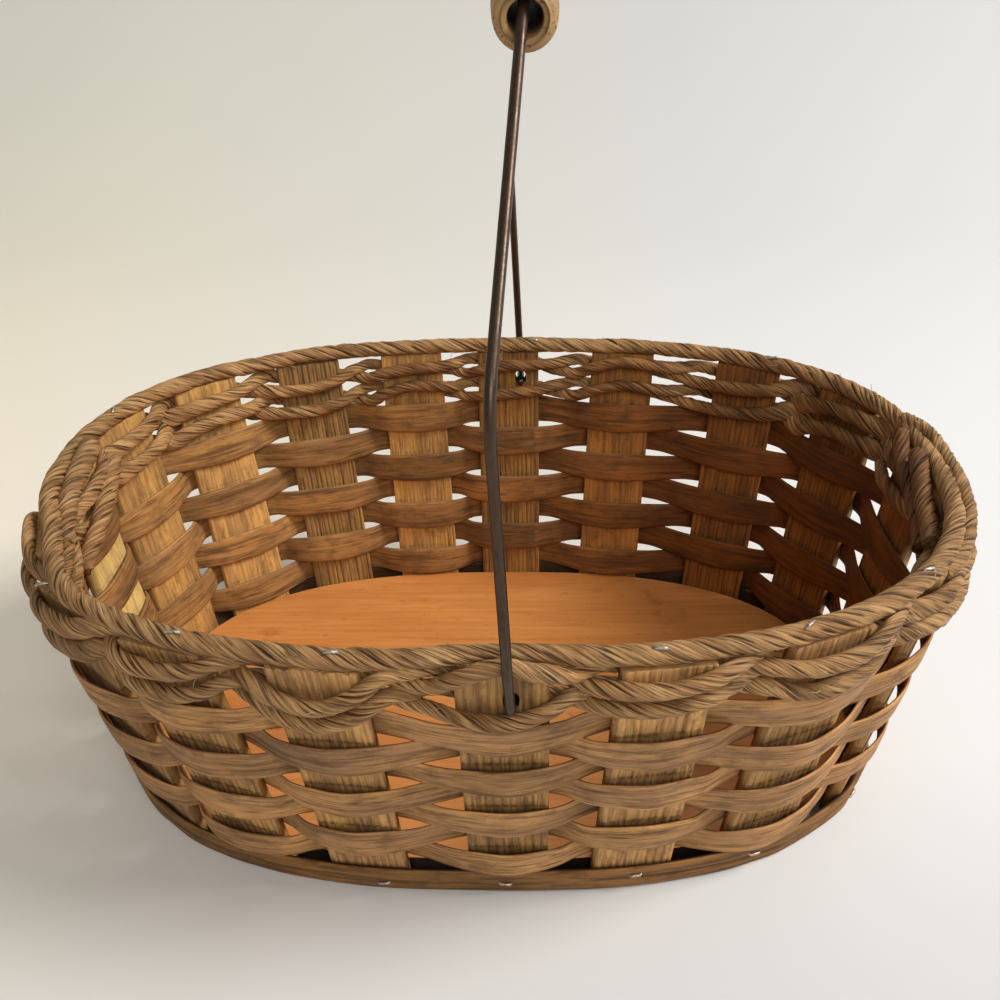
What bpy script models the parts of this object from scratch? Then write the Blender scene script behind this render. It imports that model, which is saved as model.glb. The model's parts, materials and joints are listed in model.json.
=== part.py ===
"""Oval market basket: slats nailed round a board, woven with splints and twined with rush cord.

Sizes are in metres and +Z is up. The basket stands on z = 0 with its long side along X, and
its wire bail swings about an axis along Y, through holes in the two middle slats.
"""

import math

import bmesh
import bpy
from mathutils import Matrix, Vector
from mathutils.geometry import interpolate_bezier

OBJECT_NAME = "oval_market_basket"

# Space left between pieces that touch on the real basket
CLEARANCE = 0.0003

# Outline of the wall, on the centre line of the slats
RIM_HALF_LENGTH = 0.1855
RIM_HALF_WIDTH = 0.1253
END_FLARE = 0.0199  # how much further out the rim is than the foot
SIDE_FLARE = 0.0255
OVAL_POWER = 2.5  # 2 is an ellipse, a higher power is squarer
OVAL_STEPS = 720  # for measuring along the rim
BOARD_SIDES = 64
RIM_CORD_SIDES = 64

# Slats, which stand round the board as the stakes of the weave
STAKE_WIDTH = 0.032
STAKE_THICKNESS = 0.0056
STAKE_EDGE_ROUND = 0.0006
STAKE_TOP_MARGIN = 0.003  # from the upper twine to the top of the stakes
HANDLE_STAKE_BACK_X = 0.0052  # the two stakes that carry the bail stand a little off the middle
HANDLE_STAKE_FRONT_X = 0.0086

# Spacing along the rim from one stake to the next, set by eye on a hand-made basket:
# from the back handle stake round the left end to the front one, then on round the right end
LEFT_SPACING = (0.051, 0.054, 0.054, 0.051, 0.046, 0.050, 0.051, 0.051, 0.055, 0.0625)
RIGHT_SPACING = (0.0553, 0.059, 0.070, 0.077, 0.059, 0.056, 0.0655, 0.0605)

# Bottom board, and the band nailed round the feet of the stakes
BOARD_THICKNESS = 0.0127
BOARD_EDGE_ROUND = 0.001
BAND_HEIGHT = 0.0145
BAND_THICKNESS = 0.0026

# Flat splints woven in rows
WEAVER_ROWS = 7
WEAVER_WIDTH = 0.01315
WEAVER_THICKNESS = 0.0018
WEAVER_GAP = 0.0005  # between one row and the next
WEAVER_BOW = 0.0006  # how far a splint stands off the middle of a stake
WEAVER_MARGIN = 0.0006  # from a stake's edge to where the splint turns
WEAVER_GAP_STEPS = 3

# Twisted rush cord, twined in pairs below the rim and laid along the stake tops
CORD_DIAMETER = 0.0056
TWINE_END_SLACK = 0.0032  # how far the outer cords stand off the stakes at the ends of the oval
CORD_MARGIN = 0.001
CORD_GAP_STEPS = 4
RIM_CORD_DIAMETER = 0.0078
RIM_CORD_INSET = 0.0018  # the cord lies towards the inner edge of the stake tops

# Wire bail
WIRE_DIAMETER = 0.0036
WIRE_HOLE_DIAMETER = 0.0056
WIRE_END = 0.004  # stands out inside the stake
HINGE_X = 0.0117
BAIL_LEAN = math.radians(1.8)  # to the right of upright
LEG_HEIGHT = 0.113  # from the hinge to the shoulder
GRIP_RISE = 0.2007  # from the hinge to the wire in the grip
SHOULDER_SHIFT = 0.0071  # the shoulders are bent this far to the left of the bail's plane
GRIP_BEND_INSET = 0.0045  # the wire makes its last bend just inside the grip
FOOT_BEND_RADIUS = 0.005
SHOULDER_RADIUS = 0.030
GRIP_BEND_RADIUS = 0.007
BEND_STEP = math.radians(18.0)
WIRE_STEP = 0.014  # longest stretch between two points of the wire

# Turned wooden grip
GRIP_LENGTH = 0.100
GRIP_END_DIAMETER = 0.0195
GRIP_MIDDLE_DIAMETER = 0.0223
GRIP_BORE_DIAMETER = 0.0101
GRIP_EDGE_ROUND = 0.0014
GRIP_PROFILE_STEPS = 6
GRIP_SIDES = 28

# Sizes that follow from the ones above
FOOT_HALF_LENGTH = RIM_HALF_LENGTH - END_FLARE
FOOT_HALF_WIDTH = RIM_HALF_WIDTH - SIDE_FLARE
ROW_PITCH = WEAVER_WIDTH + WEAVER_GAP
FIRST_ROW_BOTTOM = BAND_HEIGHT + WEAVER_GAP
WEAVE_TOP = FIRST_ROW_BOTTOM + WEAVER_ROWS * ROW_PITCH - WEAVER_GAP
CORD_RADIUS = CORD_DIAMETER / 2
CROSSING_RISE = CORD_RADIUS + CLEARANCE / 2
TWINE_HALF_HEIGHT = CROSSING_RISE + CORD_RADIUS
LOWER_TWINE_HEIGHT = WEAVE_TOP + CLEARANCE + TWINE_HALF_HEIGHT
UPPER_TWINE_HEIGHT = LOWER_TWINE_HEIGHT + 2 * TWINE_HALF_HEIGHT + CLEARANCE
WALL_HEIGHT = UPPER_TWINE_HEIGHT + TWINE_HALF_HEIGHT + STAKE_TOP_MARGIN
RIM_CORD_HEIGHT = WALL_HEIGHT + CLEARANCE + RIM_CORD_DIAMETER / 2

# The wire lies on the bottom of its holes, midway between the two twines
WIRE_RADIUS = WIRE_DIAMETER / 2
HINGE_HEIGHT = (LOWER_TWINE_HEIGHT + UPPER_TWINE_HEIGHT) / 2
WIRE_HOLE_HEIGHT = HINGE_HEIGHT + WIRE_HOLE_DIAMETER / 2 - WIRE_RADIUS - CLEARANCE

# The grip hangs on the wire, so its axis is below the wire's
GRIP_DROP = GRIP_BORE_DIAMETER / 2 - WIRE_RADIUS - CLEARANCE

# Colours are linear red, green and blue
BOARD_COLOUR = (0.47, 0.21, 0.075)
STAKE_COLOUR = (0.34, 0.20, 0.09)
SPLINT_COLOUR = (0.21, 0.125, 0.065)
CORD_COLOUR = (0.30, 0.185, 0.09)
WIRE_COLOUR = (0.11, 0.10, 0.095)
GRIP_COLOUR = (0.44, 0.30, 0.15)


def clear_scene():
    """Start from an empty scene."""
    for existing in list(bpy.data.objects):
        bpy.data.objects.remove(existing, do_unlink=True)


def new_collection(name):
    """A collection in the scene."""
    collection = bpy.data.collections.new(name)
    bpy.context.scene.collection.children.link(collection)
    return collection


def new_material(name, colour, roughness, metallic=0.0):
    """A plain Principled material."""
    material = bpy.data.materials.new(name)
    material.use_nodes = True
    shader = material.node_tree.nodes["Principled BSDF"]
    shader.inputs["Base Color"].default_value = (*colour, 1.0)
    shader.inputs["Roughness"].default_value = roughness
    shader.inputs["Metallic"].default_value = metallic
    return material


def add_object(name, data, material, collection):
    """Put a mesh or curve into the scene with its own material."""
    item = bpy.data.objects.new(name, data)
    data.materials.append(material)
    collection.objects.link(item)
    return item


def mesh_from(bm, name):
    """Turn a bmesh into mesh data with its faces pointing out."""
    bmesh.ops.recalc_face_normals(bm, faces=bm.faces)
    mesh = bpy.data.meshes.new(name)
    bm.to_mesh(mesh)
    bm.free()
    return mesh


# Ovals


def signed_power(value, power):
    """A power that keeps the sign."""
    return math.copysign(abs(value) ** power, value)


def oval_point(half_length, half_width, angle, height):
    """A point of the oval at one height; equal angles lie on one straight line up the wall."""
    return Vector((
        half_length * signed_power(math.cos(angle), 2 / OVAL_POWER),
        half_width * signed_power(math.sin(angle), 2 / OVAL_POWER),
        height,
    ))


def oval_tangent(half_length, half_width, angle):
    """The oval's direction there, counter-clockwise seen from above."""
    step = math.pi / OVAL_STEPS
    before = oval_point(half_length, half_width, angle - step, 0.0)
    after = oval_point(half_length, half_width, angle + step, 0.0)
    return (after - before).normalized()


def oval_ring(half_length, half_width, height, count):
    """Points evenly spaced in angle round an oval."""
    return [
        oval_point(half_length, half_width, 2 * math.pi * (i + 0.5) / count, height)
        for i in range(count)
    ]


def rim_angle_at_x(x, front):
    """The angle at which the rim has this x, at the front or the back."""
    cosine = signed_power(x / RIM_HALF_LENGTH, OVAL_POWER / 2)
    angle = math.acos(cosine)
    return 2 * math.pi - angle if front else angle


def angles_along_rim(start, end, spacing):
    """Angles of the stakes between two handle stakes, their spacing stretched to fill the rim."""
    angles = [start + (end - start) * i / OVAL_STEPS for i in range(OVAL_STEPS + 1)]
    points = [oval_point(RIM_HALF_LENGTH, RIM_HALF_WIDTH, angle, 0.0) for angle in angles]
    lengths = [0.0]
    for first, second in zip(points, points[1:]):
        lengths.append(lengths[-1] + (second - first).length)
    stretch = lengths[-1] / sum(spacing)
    found = []
    travelled = 0.0
    index = 1
    for gap in spacing[:-1]:
        travelled += gap * stretch
        while lengths[index] < travelled:
            index += 1
        share = (travelled - lengths[index - 1]) / (lengths[index] - lengths[index - 1])
        found.append(angles[index - 1] + (angles[index] - angles[index - 1]) * share)
    return found


class Stake:
    """One slat: its centre line up the wall, and the level directions along and out of the wall."""

    def __init__(self, angle, name):
        self.name = name
        self.foot = oval_point(FOOT_HALF_LENGTH, FOOT_HALF_WIDTH, angle, 0.0)
        self.head = oval_point(RIM_HALF_LENGTH, RIM_HALF_WIDTH, angle, WALL_HEIGHT)
        self.up = (self.head - self.foot).normalized()
        # It is nailed flat to the board, so it follows the oval of its foot
        self.along = oval_tangent(FOOT_HALF_LENGTH, FOOT_HALF_WIDTH, angle)
        self.out = Vector((self.along.y, -self.along.x, 0.0))
        across = self.along.cross(self.up)
        self.normal = across.normalized()
        # A level cut through a leaning slat is a little wider and thicker than the slat
        self.level_half_width = STAKE_WIDTH / 2 / across.length
        self.level_stretch = 1 / self.normal.dot(self.out)

    def point(self, along, out, height):
        """A point beside the slat: along the wall, off its middle plane, and up."""
        centre = self.foot.lerp(self.head, height / WALL_HEIGHT)
        return centre + self.along * along + self.out * (out * self.level_stretch)

    def placement(self):
        """Local x along the slat's width, y into the basket and z up the slat."""
        into = -self.normal
        axes = Matrix((into.cross(self.up), into, self.up)).transposed()
        return Matrix.Translation(self.foot) @ axes.to_4x4()


def make_stakes():
    """The ring of stakes, counter-clockwise from the one behind the bail's back leg."""
    back = rim_angle_at_x(HANDLE_STAKE_BACK_X, front=False)
    front = rim_angle_at_x(HANDLE_STAKE_FRONT_X, front=True)
    left = angles_along_rim(back, front, LEFT_SPACING)
    right = angles_along_rim(front, back + 2 * math.pi, RIGHT_SPACING)
    stakes = [Stake(back, "handle_stake_back")]
    stakes += [Stake(angle, f"stake_{i + 1:02d}") for i, angle in enumerate(left)]
    stakes.append(Stake(front, "handle_stake_front"))
    first_right = len(left) + 1
    stakes += [Stake(angle, f"stake_{i + first_right:02d}") for i, angle in enumerate(right)]
    return stakes


# Paths round the wall


def ring_path(stakes, outs, margin, heights, gap_steps, bow=None):
    """A closed path round the stakes.

    outs gives how far off each stake's middle plane the path passes, negative inside the
    basket. heights gives the height at a share 0 to 1 of the gap that follows a stake, and
    on the stake 0. bow is how much further off the path is at the stake's middle.
    """
    path = []
    for i, stake in enumerate(stakes):
        following = stakes[(i + 1) % len(stakes)]
        out = outs[i]
        next_out = outs[(i + 1) % len(stakes)]
        reach = stake.level_half_width + margin
        next_reach = following.level_half_width + margin
        level = heights(i, 0.0)
        if bow is not None:
            path.append(stake.point(0.0, out + math.copysign(bow, out), level))
        start = stake.point(reach, out, level)
        end = following.point(-next_reach, next_out, level)
        handle = (end - start).length / 3
        crossing = interpolate_bezier(
            start, start + stake.along * handle, end - following.along * handle, end, gap_steps + 1
        )
        for step, point in enumerate(crossing):
            share = step / gap_steps
            path.append(Vector((point.x, point.y, heights(i, share))))
    return path


def ribbon(name, lower, upper, thickness, material, collection):
    """A flat strip between two closed paths, thickened."""
    bm = bmesh.new()
    loops = []
    for path in (lower, upper):
        corners = [bm.verts.new(point) for point in path]
        loops += [bm.edges.new((corner, corners[i - 1])) for i, corner in enumerate(corners)]
    bmesh.ops.bridge_loops(bm, edges=loops)
    item = add_object(name, mesh_from(bm, name), material, collection)
    solidify = item.modifiers.new("thickness", "SOLIDIFY")
    solidify.thickness = thickness
    solidify.offset = 0.0
    solidify.use_even_offset = True
    return item


def tube(name, points, radius, sides_level, closed, material, collection):
    """A round cord or wire along its points."""
    curve = bpy.data.curves.new(name, "CURVE")
    curve.dimensions = "3D"
    curve.bevel_depth = radius
    curve.bevel_resolution = sides_level
    curve.use_fill_caps = not closed
    curve.twist_mode = "Z_UP" if closed else "MINIMUM"
    spline = curve.splines.new("POLY")
    spline.points.add(len(points) - 1)
    for place, point in zip(spline.points, points):
        place.co = (*point, 1.0)
    spline.use_cyclic_u = closed
    return add_object(name, curve, material, collection)


# Pieces


def add_stake(stake, material, collection):
    """A slat, cut level at its foot and its top."""
    spare = STAKE_WIDTH
    length = WALL_HEIGHT / stake.up.z + 2 * spare
    placement = stake.placement()
    to_local = placement.inverted()
    bm = bmesh.new()
    bmesh.ops.create_cube(bm, size=1.0)
    bmesh.ops.scale(bm, vec=(STAKE_WIDTH, STAKE_THICKNESS, length), verts=bm.verts)
    bmesh.ops.translate(bm, vec=(0.0, 0.0, length / 2 - spare), verts=bm.verts)
    for end, outward in ((stake.foot, -1.0), (stake.head, 1.0)):
        cut = bmesh.ops.bisect_plane(
            bm,
            geom=bm.verts[:] + bm.edges[:] + bm.faces[:],
            plane_co=to_local @ end,
            plane_no=to_local.to_3x3() @ Vector((0.0, 0.0, outward)),
            clear_outer=True,
        )
        rim = [part for part in cut["geom_cut"] if isinstance(part, bmesh.types.BMEdge)]
        bmesh.ops.edgeloop_fill(bm, edges=rim)
    item = add_object(stake.name, mesh_from(bm, stake.name), material, collection)
    item.matrix_world = placement
    rounding = item.modifiers.new("edges", "BEVEL")
    rounding.width = STAKE_EDGE_ROUND
    rounding.segments = 1
    rounding.limit_method = "ANGLE"
    return item


def add_wire_holes(handle_stakes, cutters):
    """Bore the holes for the bail's ends, level, through both handle stakes."""
    depth = 4 * (RIM_HALF_WIDTH + STAKE_WIDTH)
    bm = bmesh.new()
    bmesh.ops.create_cone(
        bm,
        cap_ends=True,
        segments=24,
        radius1=WIRE_HOLE_DIAMETER / 2,
        radius2=WIRE_HOLE_DIAMETER / 2,
        depth=depth,
    )
    drill = bpy.data.objects.new("wire_hole_drill", mesh_from(bm, "wire_hole_drill"))
    drill.location = (HINGE_X, 0.0, WIRE_HOLE_HEIGHT)
    drill.rotation_euler = (math.radians(90.0), 0.0, 0.0)
    drill.hide_render = True
    drill.display_type = "WIRE"
    cutters.objects.link(drill)
    for item in handle_stakes:
        hole = item.modifiers.new("wire_hole", "BOOLEAN")
        hole.operation = "DIFFERENCE"
        hole.solver = "EXACT"
        hole.object = drill


def add_board(material, collection):
    """The bottom board, its edge bevelled to the lean of the stakes."""
    half_stake = STAKE_THICKNESS / 2

    def edge_sizes(height):
        share = height / WALL_HEIGHT
        half_length = FOOT_HALF_LENGTH + (RIM_HALF_LENGTH - FOOT_HALF_LENGTH) * share
        half_width = FOOT_HALF_WIDTH + (RIM_HALF_WIDTH - FOOT_HALF_WIDTH) * share
        end_lean = math.hypot(RIM_HALF_LENGTH - FOOT_HALF_LENGTH, WALL_HEIGHT) / WALL_HEIGHT
        side_lean = math.hypot(RIM_HALF_WIDTH - FOOT_HALF_WIDTH, WALL_HEIGHT) / WALL_HEIGHT
        return (
            half_length - (half_stake + CLEARANCE) * end_lean,
            half_width - (half_stake + CLEARANCE) * side_lean,
        )

    low = edge_sizes(0.0)
    high = edge_sizes(BOARD_THICKNESS)
    bm = bmesh.new()
    corners = [bm.verts.new(point) for point in oval_ring(*low, 0.0, BOARD_SIDES)]
    underside = bm.faces.new(corners)
    top = bmesh.ops.extrude_face_region(bm, geom=[underside], use_keep_orig=True)
    raised = [part for part in top["geom"] if isinstance(part, bmesh.types.BMVert)]
    bmesh.ops.scale(bm, vec=(high[0] / low[0], high[1] / low[1], 1.0), verts=raised)
    bmesh.ops.translate(bm, vec=(0.0, 0.0, BOARD_THICKNESS), verts=raised)
    item = add_object("base_board", mesh_from(bm, "base_board"), material, collection)
    rounding = item.modifiers.new("edges", "BEVEL")
    rounding.width = BOARD_EDGE_ROUND
    rounding.segments = 1
    rounding.limit_method = "ANGLE"
    rounding.angle_limit = math.radians(45.0)
    return item


def add_band(stakes, material, collection):
    """The strip nailed round the outside of the stakes' feet."""
    outs = [STAKE_THICKNESS / 2 + CLEARANCE + BAND_THICKNESS / 2] * len(stakes)
    # The strip leans with the stakes, so its thickness reaches a little below its middle
    lift = BAND_THICKNESS / 2 * max(stake.up.dot(stake.out) for stake in stakes)
    paths = [
        ring_path(stakes, outs, WEAVER_MARGIN, lambda i, share, h=height: h, 2)
        for height in (lift, BAND_HEIGHT - lift)
    ]
    return ribbon("bottom_band", *paths, BAND_THICKNESS, material, collection)


def add_weavers(stakes, material, collection):
    """Rows of splint, each passing the other side of every stake from the row below."""
    offset = STAKE_THICKNESS / 2 + CLEARANCE + WEAVER_THICKNESS / 2
    for row in range(WEAVER_ROWS):
        outs = [offset if (i + row) % 2 == 0 else -offset for i in range(len(stakes))]
        bottom = FIRST_ROW_BOTTOM + row * ROW_PITCH
        paths = [
            ring_path(
                stakes,
                outs,
                WEAVER_MARGIN,
                lambda i, share, h=height: h,
                WEAVER_GAP_STEPS,
                WEAVER_BOW,
            )
            for height in (bottom, bottom + WEAVER_WIDTH)
        ]
        ribbon(f"weaver_row_{row + 1}", *paths, WEAVER_THICKNESS, material, collection)


def add_twine(name, height, stakes, material, collection):
    """Two cords twined round the stakes: they change sides, and cross, in every gap."""
    offset = STAKE_THICKNESS / 2 + CLEARANCE + CORD_RADIUS
    for strand, phase in (("a", 0), ("b", 1)):
        outs = []
        for i, stake in enumerate(stakes):
            slack = TWINE_END_SLACK * (abs(stake.head.x) / RIM_HALF_LENGTH) ** 6
            outs.append(offset + slack if (i + phase) % 2 == 0 else -offset)

        def level(i, share):
            # The cord that goes in passes over the one that comes out
            rise = math.copysign(CROSSING_RISE, outs[i])
            return height + rise * (1 - (2 * share - 1) ** 6)

        path = ring_path(stakes, outs, CORD_MARGIN, level, CORD_GAP_STEPS)
        tube(f"{name}_{strand}", path, CORD_RADIUS, 1, True, material, collection)


def add_rim_cord(material, collection):
    """The thicker cord laid along the tops of the stakes."""
    half_length = RIM_HALF_LENGTH - RIM_CORD_INSET
    half_width = RIM_HALF_WIDTH - RIM_CORD_INSET
    path = oval_ring(half_length, half_width, RIM_CORD_HEIGHT, RIM_CORD_SIDES)
    return tube("rim_cord", path, RIM_CORD_DIAMETER / 2, 2, True, material, collection)


def rounded_route(corners, radii):
    """A route through corners, each rounded to its radius, as points along it."""
    route = [corners[0]]
    for i, radius in enumerate(radii):
        before, corner, after = corners[i], corners[i + 1], corners[i + 2]
        arriving = (corner - before).normalized()
        leaving = (after - corner).normalized()
        turn = arriving.angle(leaving)
        cut = radius * math.tan(turn / 2)
        inward = (leaving - arriving).normalized()
        centre = corner + inward * (radius / math.cos(turn / 2))
        start = corner - arriving * cut
        axis = arriving.cross(leaving).normalized()
        steps = max(2, math.ceil(turn / BEND_STEP))
        for step in range(steps + 1):
            turned = Matrix.Rotation(turn * step / steps, 3, axis)
            route.append(centre + turned @ (start - centre))
    route.append(corners[-1])
    return route


def subdivided(route, longest):
    """The same route with no stretch longer than asked."""
    points = [route[0]]
    for first, second in zip(route, route[1:]):
        parts = max(1, math.ceil((second - first).length / longest))
        points += [first.lerp(second, part / parts) for part in range(1, parts + 1)]
    return points


def bail_route(back_stake):
    """The bail's centre line, from the inner end at the front to the one at the back."""
    cord_face = STAKE_THICKNESS / 2 + 2 * (CLEARANCE + CORD_RADIUS)
    leg_y = back_stake.point(0.0, cord_face, UPPER_TWINE_HEIGHT).y + WIRE_RADIUS
    rim_cord_face = RIM_HALF_WIDTH - RIM_CORD_INSET + RIM_CORD_DIAMETER / 2
    rim_y = rim_cord_face + CLEARANCE + WIRE_RADIUS
    leg_y = max(leg_y, rim_y)
    inner_face = back_stake.point(0.0, -STAKE_THICKNESS / 2, HINGE_HEIGHT).y
    end_y = inner_face - WIRE_END
    grip_bend_y = GRIP_LENGTH / 2 - GRIP_BEND_INSET
    front = [
        Vector((0.0, -end_y, 0.0)),
        Vector((0.0, -leg_y, 0.0)),
        Vector((-SHOULDER_SHIFT, -leg_y, LEG_HEIGHT)),
        Vector((0.0, -grip_bend_y, GRIP_RISE)),
    ]
    back = [Vector((point.x, -point.y, point.z)) for point in reversed(front)]
    radii = [FOOT_BEND_RADIUS, SHOULDER_RADIUS, GRIP_BEND_RADIUS]
    return subdivided(rounded_route(front + back, radii + radii[::-1]), WIRE_STEP)


def add_bail(back_stake, wire_material, grip_material, collection):
    """The bail on its hinge, and the grip that turns on it."""
    hinge = bpy.data.objects.new("bail_hinge", None)
    hinge.location = (HINGE_X, 0.0, HINGE_HEIGHT)
    hinge.rotation_euler = (0.0, BAIL_LEAN, 0.0)
    collection.objects.link(hinge)
    wire = tube("bail_wire", bail_route(back_stake), WIRE_RADIUS, 2, False, wire_material, collection)
    wire.parent = hinge

    grip_axis = bpy.data.objects.new("grip_axis", None)
    grip_axis.location = (0.0, 0.0, GRIP_RISE - GRIP_DROP)
    grip_axis.parent = hinge
    collection.objects.link(grip_axis)
    grip = add_grip(grip_material, collection)
    grip.parent = grip_axis
    grip.rotation_euler = (math.radians(90.0), 0.0, 0.0)


def add_grip(material, collection):
    """A turned grip, a little fuller in the middle, bored through for the wire."""
    bore = GRIP_BORE_DIAMETER / 2
    end = GRIP_END_DIAMETER / 2
    middle = GRIP_MIDDLE_DIAMETER / 2
    half = GRIP_LENGTH / 2
    profile = [(bore, half)]
    for step in range(GRIP_PROFILE_STEPS + 1):
        share = 2 * step / GRIP_PROFILE_STEPS - 1
        profile.append((middle - (middle - end) * share**2, -half * share))
    profile.append((bore, -half))
    bm = bmesh.new()
    corners = [bm.verts.new((radius, 0.0, height)) for radius, height in profile]
    for i, corner in enumerate(corners):
        bm.edges.new((corners[i - 1], corner))
    mesh = bpy.data.meshes.new("grip")
    bm.to_mesh(mesh)
    bm.free()
    item = add_object("grip", mesh, material, collection)
    turning = item.modifiers.new("turning", "SCREW")
    turning.steps = GRIP_SIDES
    turning.render_steps = GRIP_SIDES
    turning.use_smooth_shade = True
    turning.use_merge_vertices = True
    turning.merge_threshold = 0.00001
    rounding = item.modifiers.new("edges", "BEVEL")
    rounding.width = GRIP_EDGE_ROUND
    rounding.segments = 2
    rounding.limit_method = "ANGLE"
    rounding.angle_limit = math.radians(60.0)
    return item


def build():
    """Make the whole basket."""
    clear_scene()
    parts = new_collection(OBJECT_NAME)
    cutters = new_collection("cutters")
    stakes = make_stakes()

    add_board(new_material("board_wood", BOARD_COLOUR, 0.5), parts)
    items = {}
    for stake in stakes:
        wood = new_material(f"{stake.name}_wood", STAKE_COLOUR, 0.7)
        items[stake.name] = add_stake(stake, wood, parts)
    handle_stakes = [items["handle_stake_front"], items["handle_stake_back"]]
    add_wire_holes(handle_stakes, cutters)
    add_band(stakes, new_material("band_wood", SPLINT_COLOUR, 0.65), parts)
    add_weavers(stakes, new_material("splint", SPLINT_COLOUR, 0.65), parts)
    cord = new_material("rush_cord", CORD_COLOUR, 0.75)
    add_twine("lower_twine", LOWER_TWINE_HEIGHT, stakes, cord, parts)
    add_twine("upper_twine", UPPER_TWINE_HEIGHT, stakes, cord, parts)
    add_rim_cord(cord, parts)
    wire = new_material("steel_wire", WIRE_COLOUR, 0.45, 1.0)
    grip = new_material("grip_wood", GRIP_COLOUR, 0.6)
    add_bail(stakes[0], wire, grip, parts)
    bpy.context.view_layer.update()


build()
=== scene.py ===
"""Looks of the oval market basket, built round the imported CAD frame. Sizes are in metres.

The slats' places are worked out first. The splints, slats, cords, bail and grip are built from
them, each standing for its own CAD nodes, and staples and fibres are laid on their surface.
"""

import json
import math
from itertools import accumulate

import bmesh
import bpy
from mathutils import Matrix, Vector, noise
from mathutils.bvhtree import BVHTree

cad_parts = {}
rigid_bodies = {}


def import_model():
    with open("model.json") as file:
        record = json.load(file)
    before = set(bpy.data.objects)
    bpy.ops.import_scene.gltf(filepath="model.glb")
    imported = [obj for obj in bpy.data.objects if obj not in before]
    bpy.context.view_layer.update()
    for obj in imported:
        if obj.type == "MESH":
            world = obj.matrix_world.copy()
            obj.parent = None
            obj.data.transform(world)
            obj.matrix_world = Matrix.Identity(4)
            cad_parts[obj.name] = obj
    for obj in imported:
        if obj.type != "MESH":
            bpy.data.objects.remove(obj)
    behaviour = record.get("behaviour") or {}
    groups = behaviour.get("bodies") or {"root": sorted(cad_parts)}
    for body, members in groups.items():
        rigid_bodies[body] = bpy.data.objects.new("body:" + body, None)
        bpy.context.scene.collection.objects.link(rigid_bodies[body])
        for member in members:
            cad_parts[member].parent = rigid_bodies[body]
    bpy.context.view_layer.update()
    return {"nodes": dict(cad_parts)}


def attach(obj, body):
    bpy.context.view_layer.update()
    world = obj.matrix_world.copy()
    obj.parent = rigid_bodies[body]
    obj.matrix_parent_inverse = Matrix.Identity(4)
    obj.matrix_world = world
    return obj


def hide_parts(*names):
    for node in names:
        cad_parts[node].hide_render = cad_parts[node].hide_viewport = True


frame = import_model()

# Sizes shared with the CAD part. An oval is given by its half length and half width.
RIM = (0.1855, 0.1253)
FOOT = (0.1656, 0.0998)
OVAL_POWER = 2.5
OVAL_STEPS = 720
STAKE_WIDTH = 0.032
STAKE_THICKNESS = 0.0056
HANDLE_STAKE_BACK_X = 0.0052
HANDLE_STAKE_FRONT_X = 0.0086
LEFT_SPACING = (0.051, 0.054, 0.054, 0.051, 0.046, 0.050, 0.051, 0.051, 0.055, 0.0625)
RIGHT_SPACING = (0.0553, 0.059, 0.070, 0.077, 0.059, 0.056, 0.0655, 0.0605)
BAND_HEIGHT = 0.0145
BAND_THICKNESS = 0.0026
WEAVER_ROWS = 7
WEAVER_WIDTH = 0.01315
ROW_PITCH = 0.01365
FIRST_ROW_BOTTOM = 0.015
LOWER_TWINE_HEIGHT = 0.1161
UPPER_TWINE_HEIGHT = 0.1279
CORD_RADIUS = 0.0028
WALL_HEIGHT = 0.13665
WIRE_RADIUS = 0.0018
WIRE_HOLE_HEIGHT = 0.1227
WIRE_HOLE_RADIUS = 0.0028
HINGE = Vector((0.0117, 0.0, 0.1220))
BAIL_LEAN = math.radians(1.8)
LEG_HEIGHT = 0.113
LEG_Y = 0.1342
FOOT_Y = 0.1305
WIRE_END_Y = 0.1158
SHOULDER_SHIFT = 0.0071
GRIP_RISE = 0.2007
GRIP_BEND_INSET = 0.0045
GRIP_LENGTH = 0.100
GRIP_END_RADIUS = 0.00975
GRIP_MIDDLE_RADIUS = 0.01115
GRIP_DROP = 0.00295
CLEARANCE = 0.0003

# Where the woven pieces lie on a slat, out from its middle
STAKE_FACE = STAKE_THICKNESS / 2 + CLEARANCE
# The splints are a little thinner than their solids
WEAVER_THICKNESS = 0.0016

# The rim cord sits a little lower and further out than its plain solid, over the slat tops
RIM_CORD_HEIGHT = 0.1398
RIM_CORD_RADIUS = 0.0037
RIM_CORD_INSET = 0.0006

# The grip sits a little askew on its wire, in a bore worn wider than its solid's
GRIP_SKEW = math.radians(0.8)
GRIP_WORN_RADIUS = 0.0055

# How far a splint spreads past its even width over the middle of a slat, on each edge
SPREAD_OUTSIDE = 0.0013
SPREAD_INSIDE = 0.0008
# How far the weave rides up at some slats, by the slat's number round the basket
WEAVE_RISES = {10: 0.0023, 11: 0.0036}

# Heights at which the twined strands pass outside and inside some slats, by the slat's number
UPPER_OUTSIDE = {
    0: 0.1293, 6: 0.1352, 8: 0.1293, 9: 0.1215, 10: 0.1412, 11: 0.1301, 12: 0.1274, 13: 0.1290, 14: 0.1325,
}
UPPER_INSIDE = {0: 0.1310, 1: 0.1305, 2: 0.1250, 3: 0.1286, 15: 0.1308, 16: 0.1266, 17: 0.1335}
LOWER_OUTSIDE = {0: 0.1157, 6: 0.1185, 8: 0.1172, 9: 0.1124, 10: 0.1160, 11: 0.1206, 12: 0.1148}
LOWER_INSIDE = {0: 0.1162, 1: 0.1215, 2: 0.1133, 3: 0.1195, 15: 0.1204, 16: 0.1142, 17: 0.1213}

# How far the heads of some slats lean in at the crushed left end, by the slat's number
HEADS_DRAWN_IN = {5: 0.0050, 6: 0.0045, 7: 0.0020}
# How far the upper twine stands off the slats that it hugs under the rim cord
HUGGED = {6: 0.0052, 13: 0.0058, 14: 0.0060}
# How far the lower twine stands off some slats, past its own radius
LOOSE = {6: 0.0035}
# Which slat carries the bail at the front
FRONT_HANDLE = 10

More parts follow.
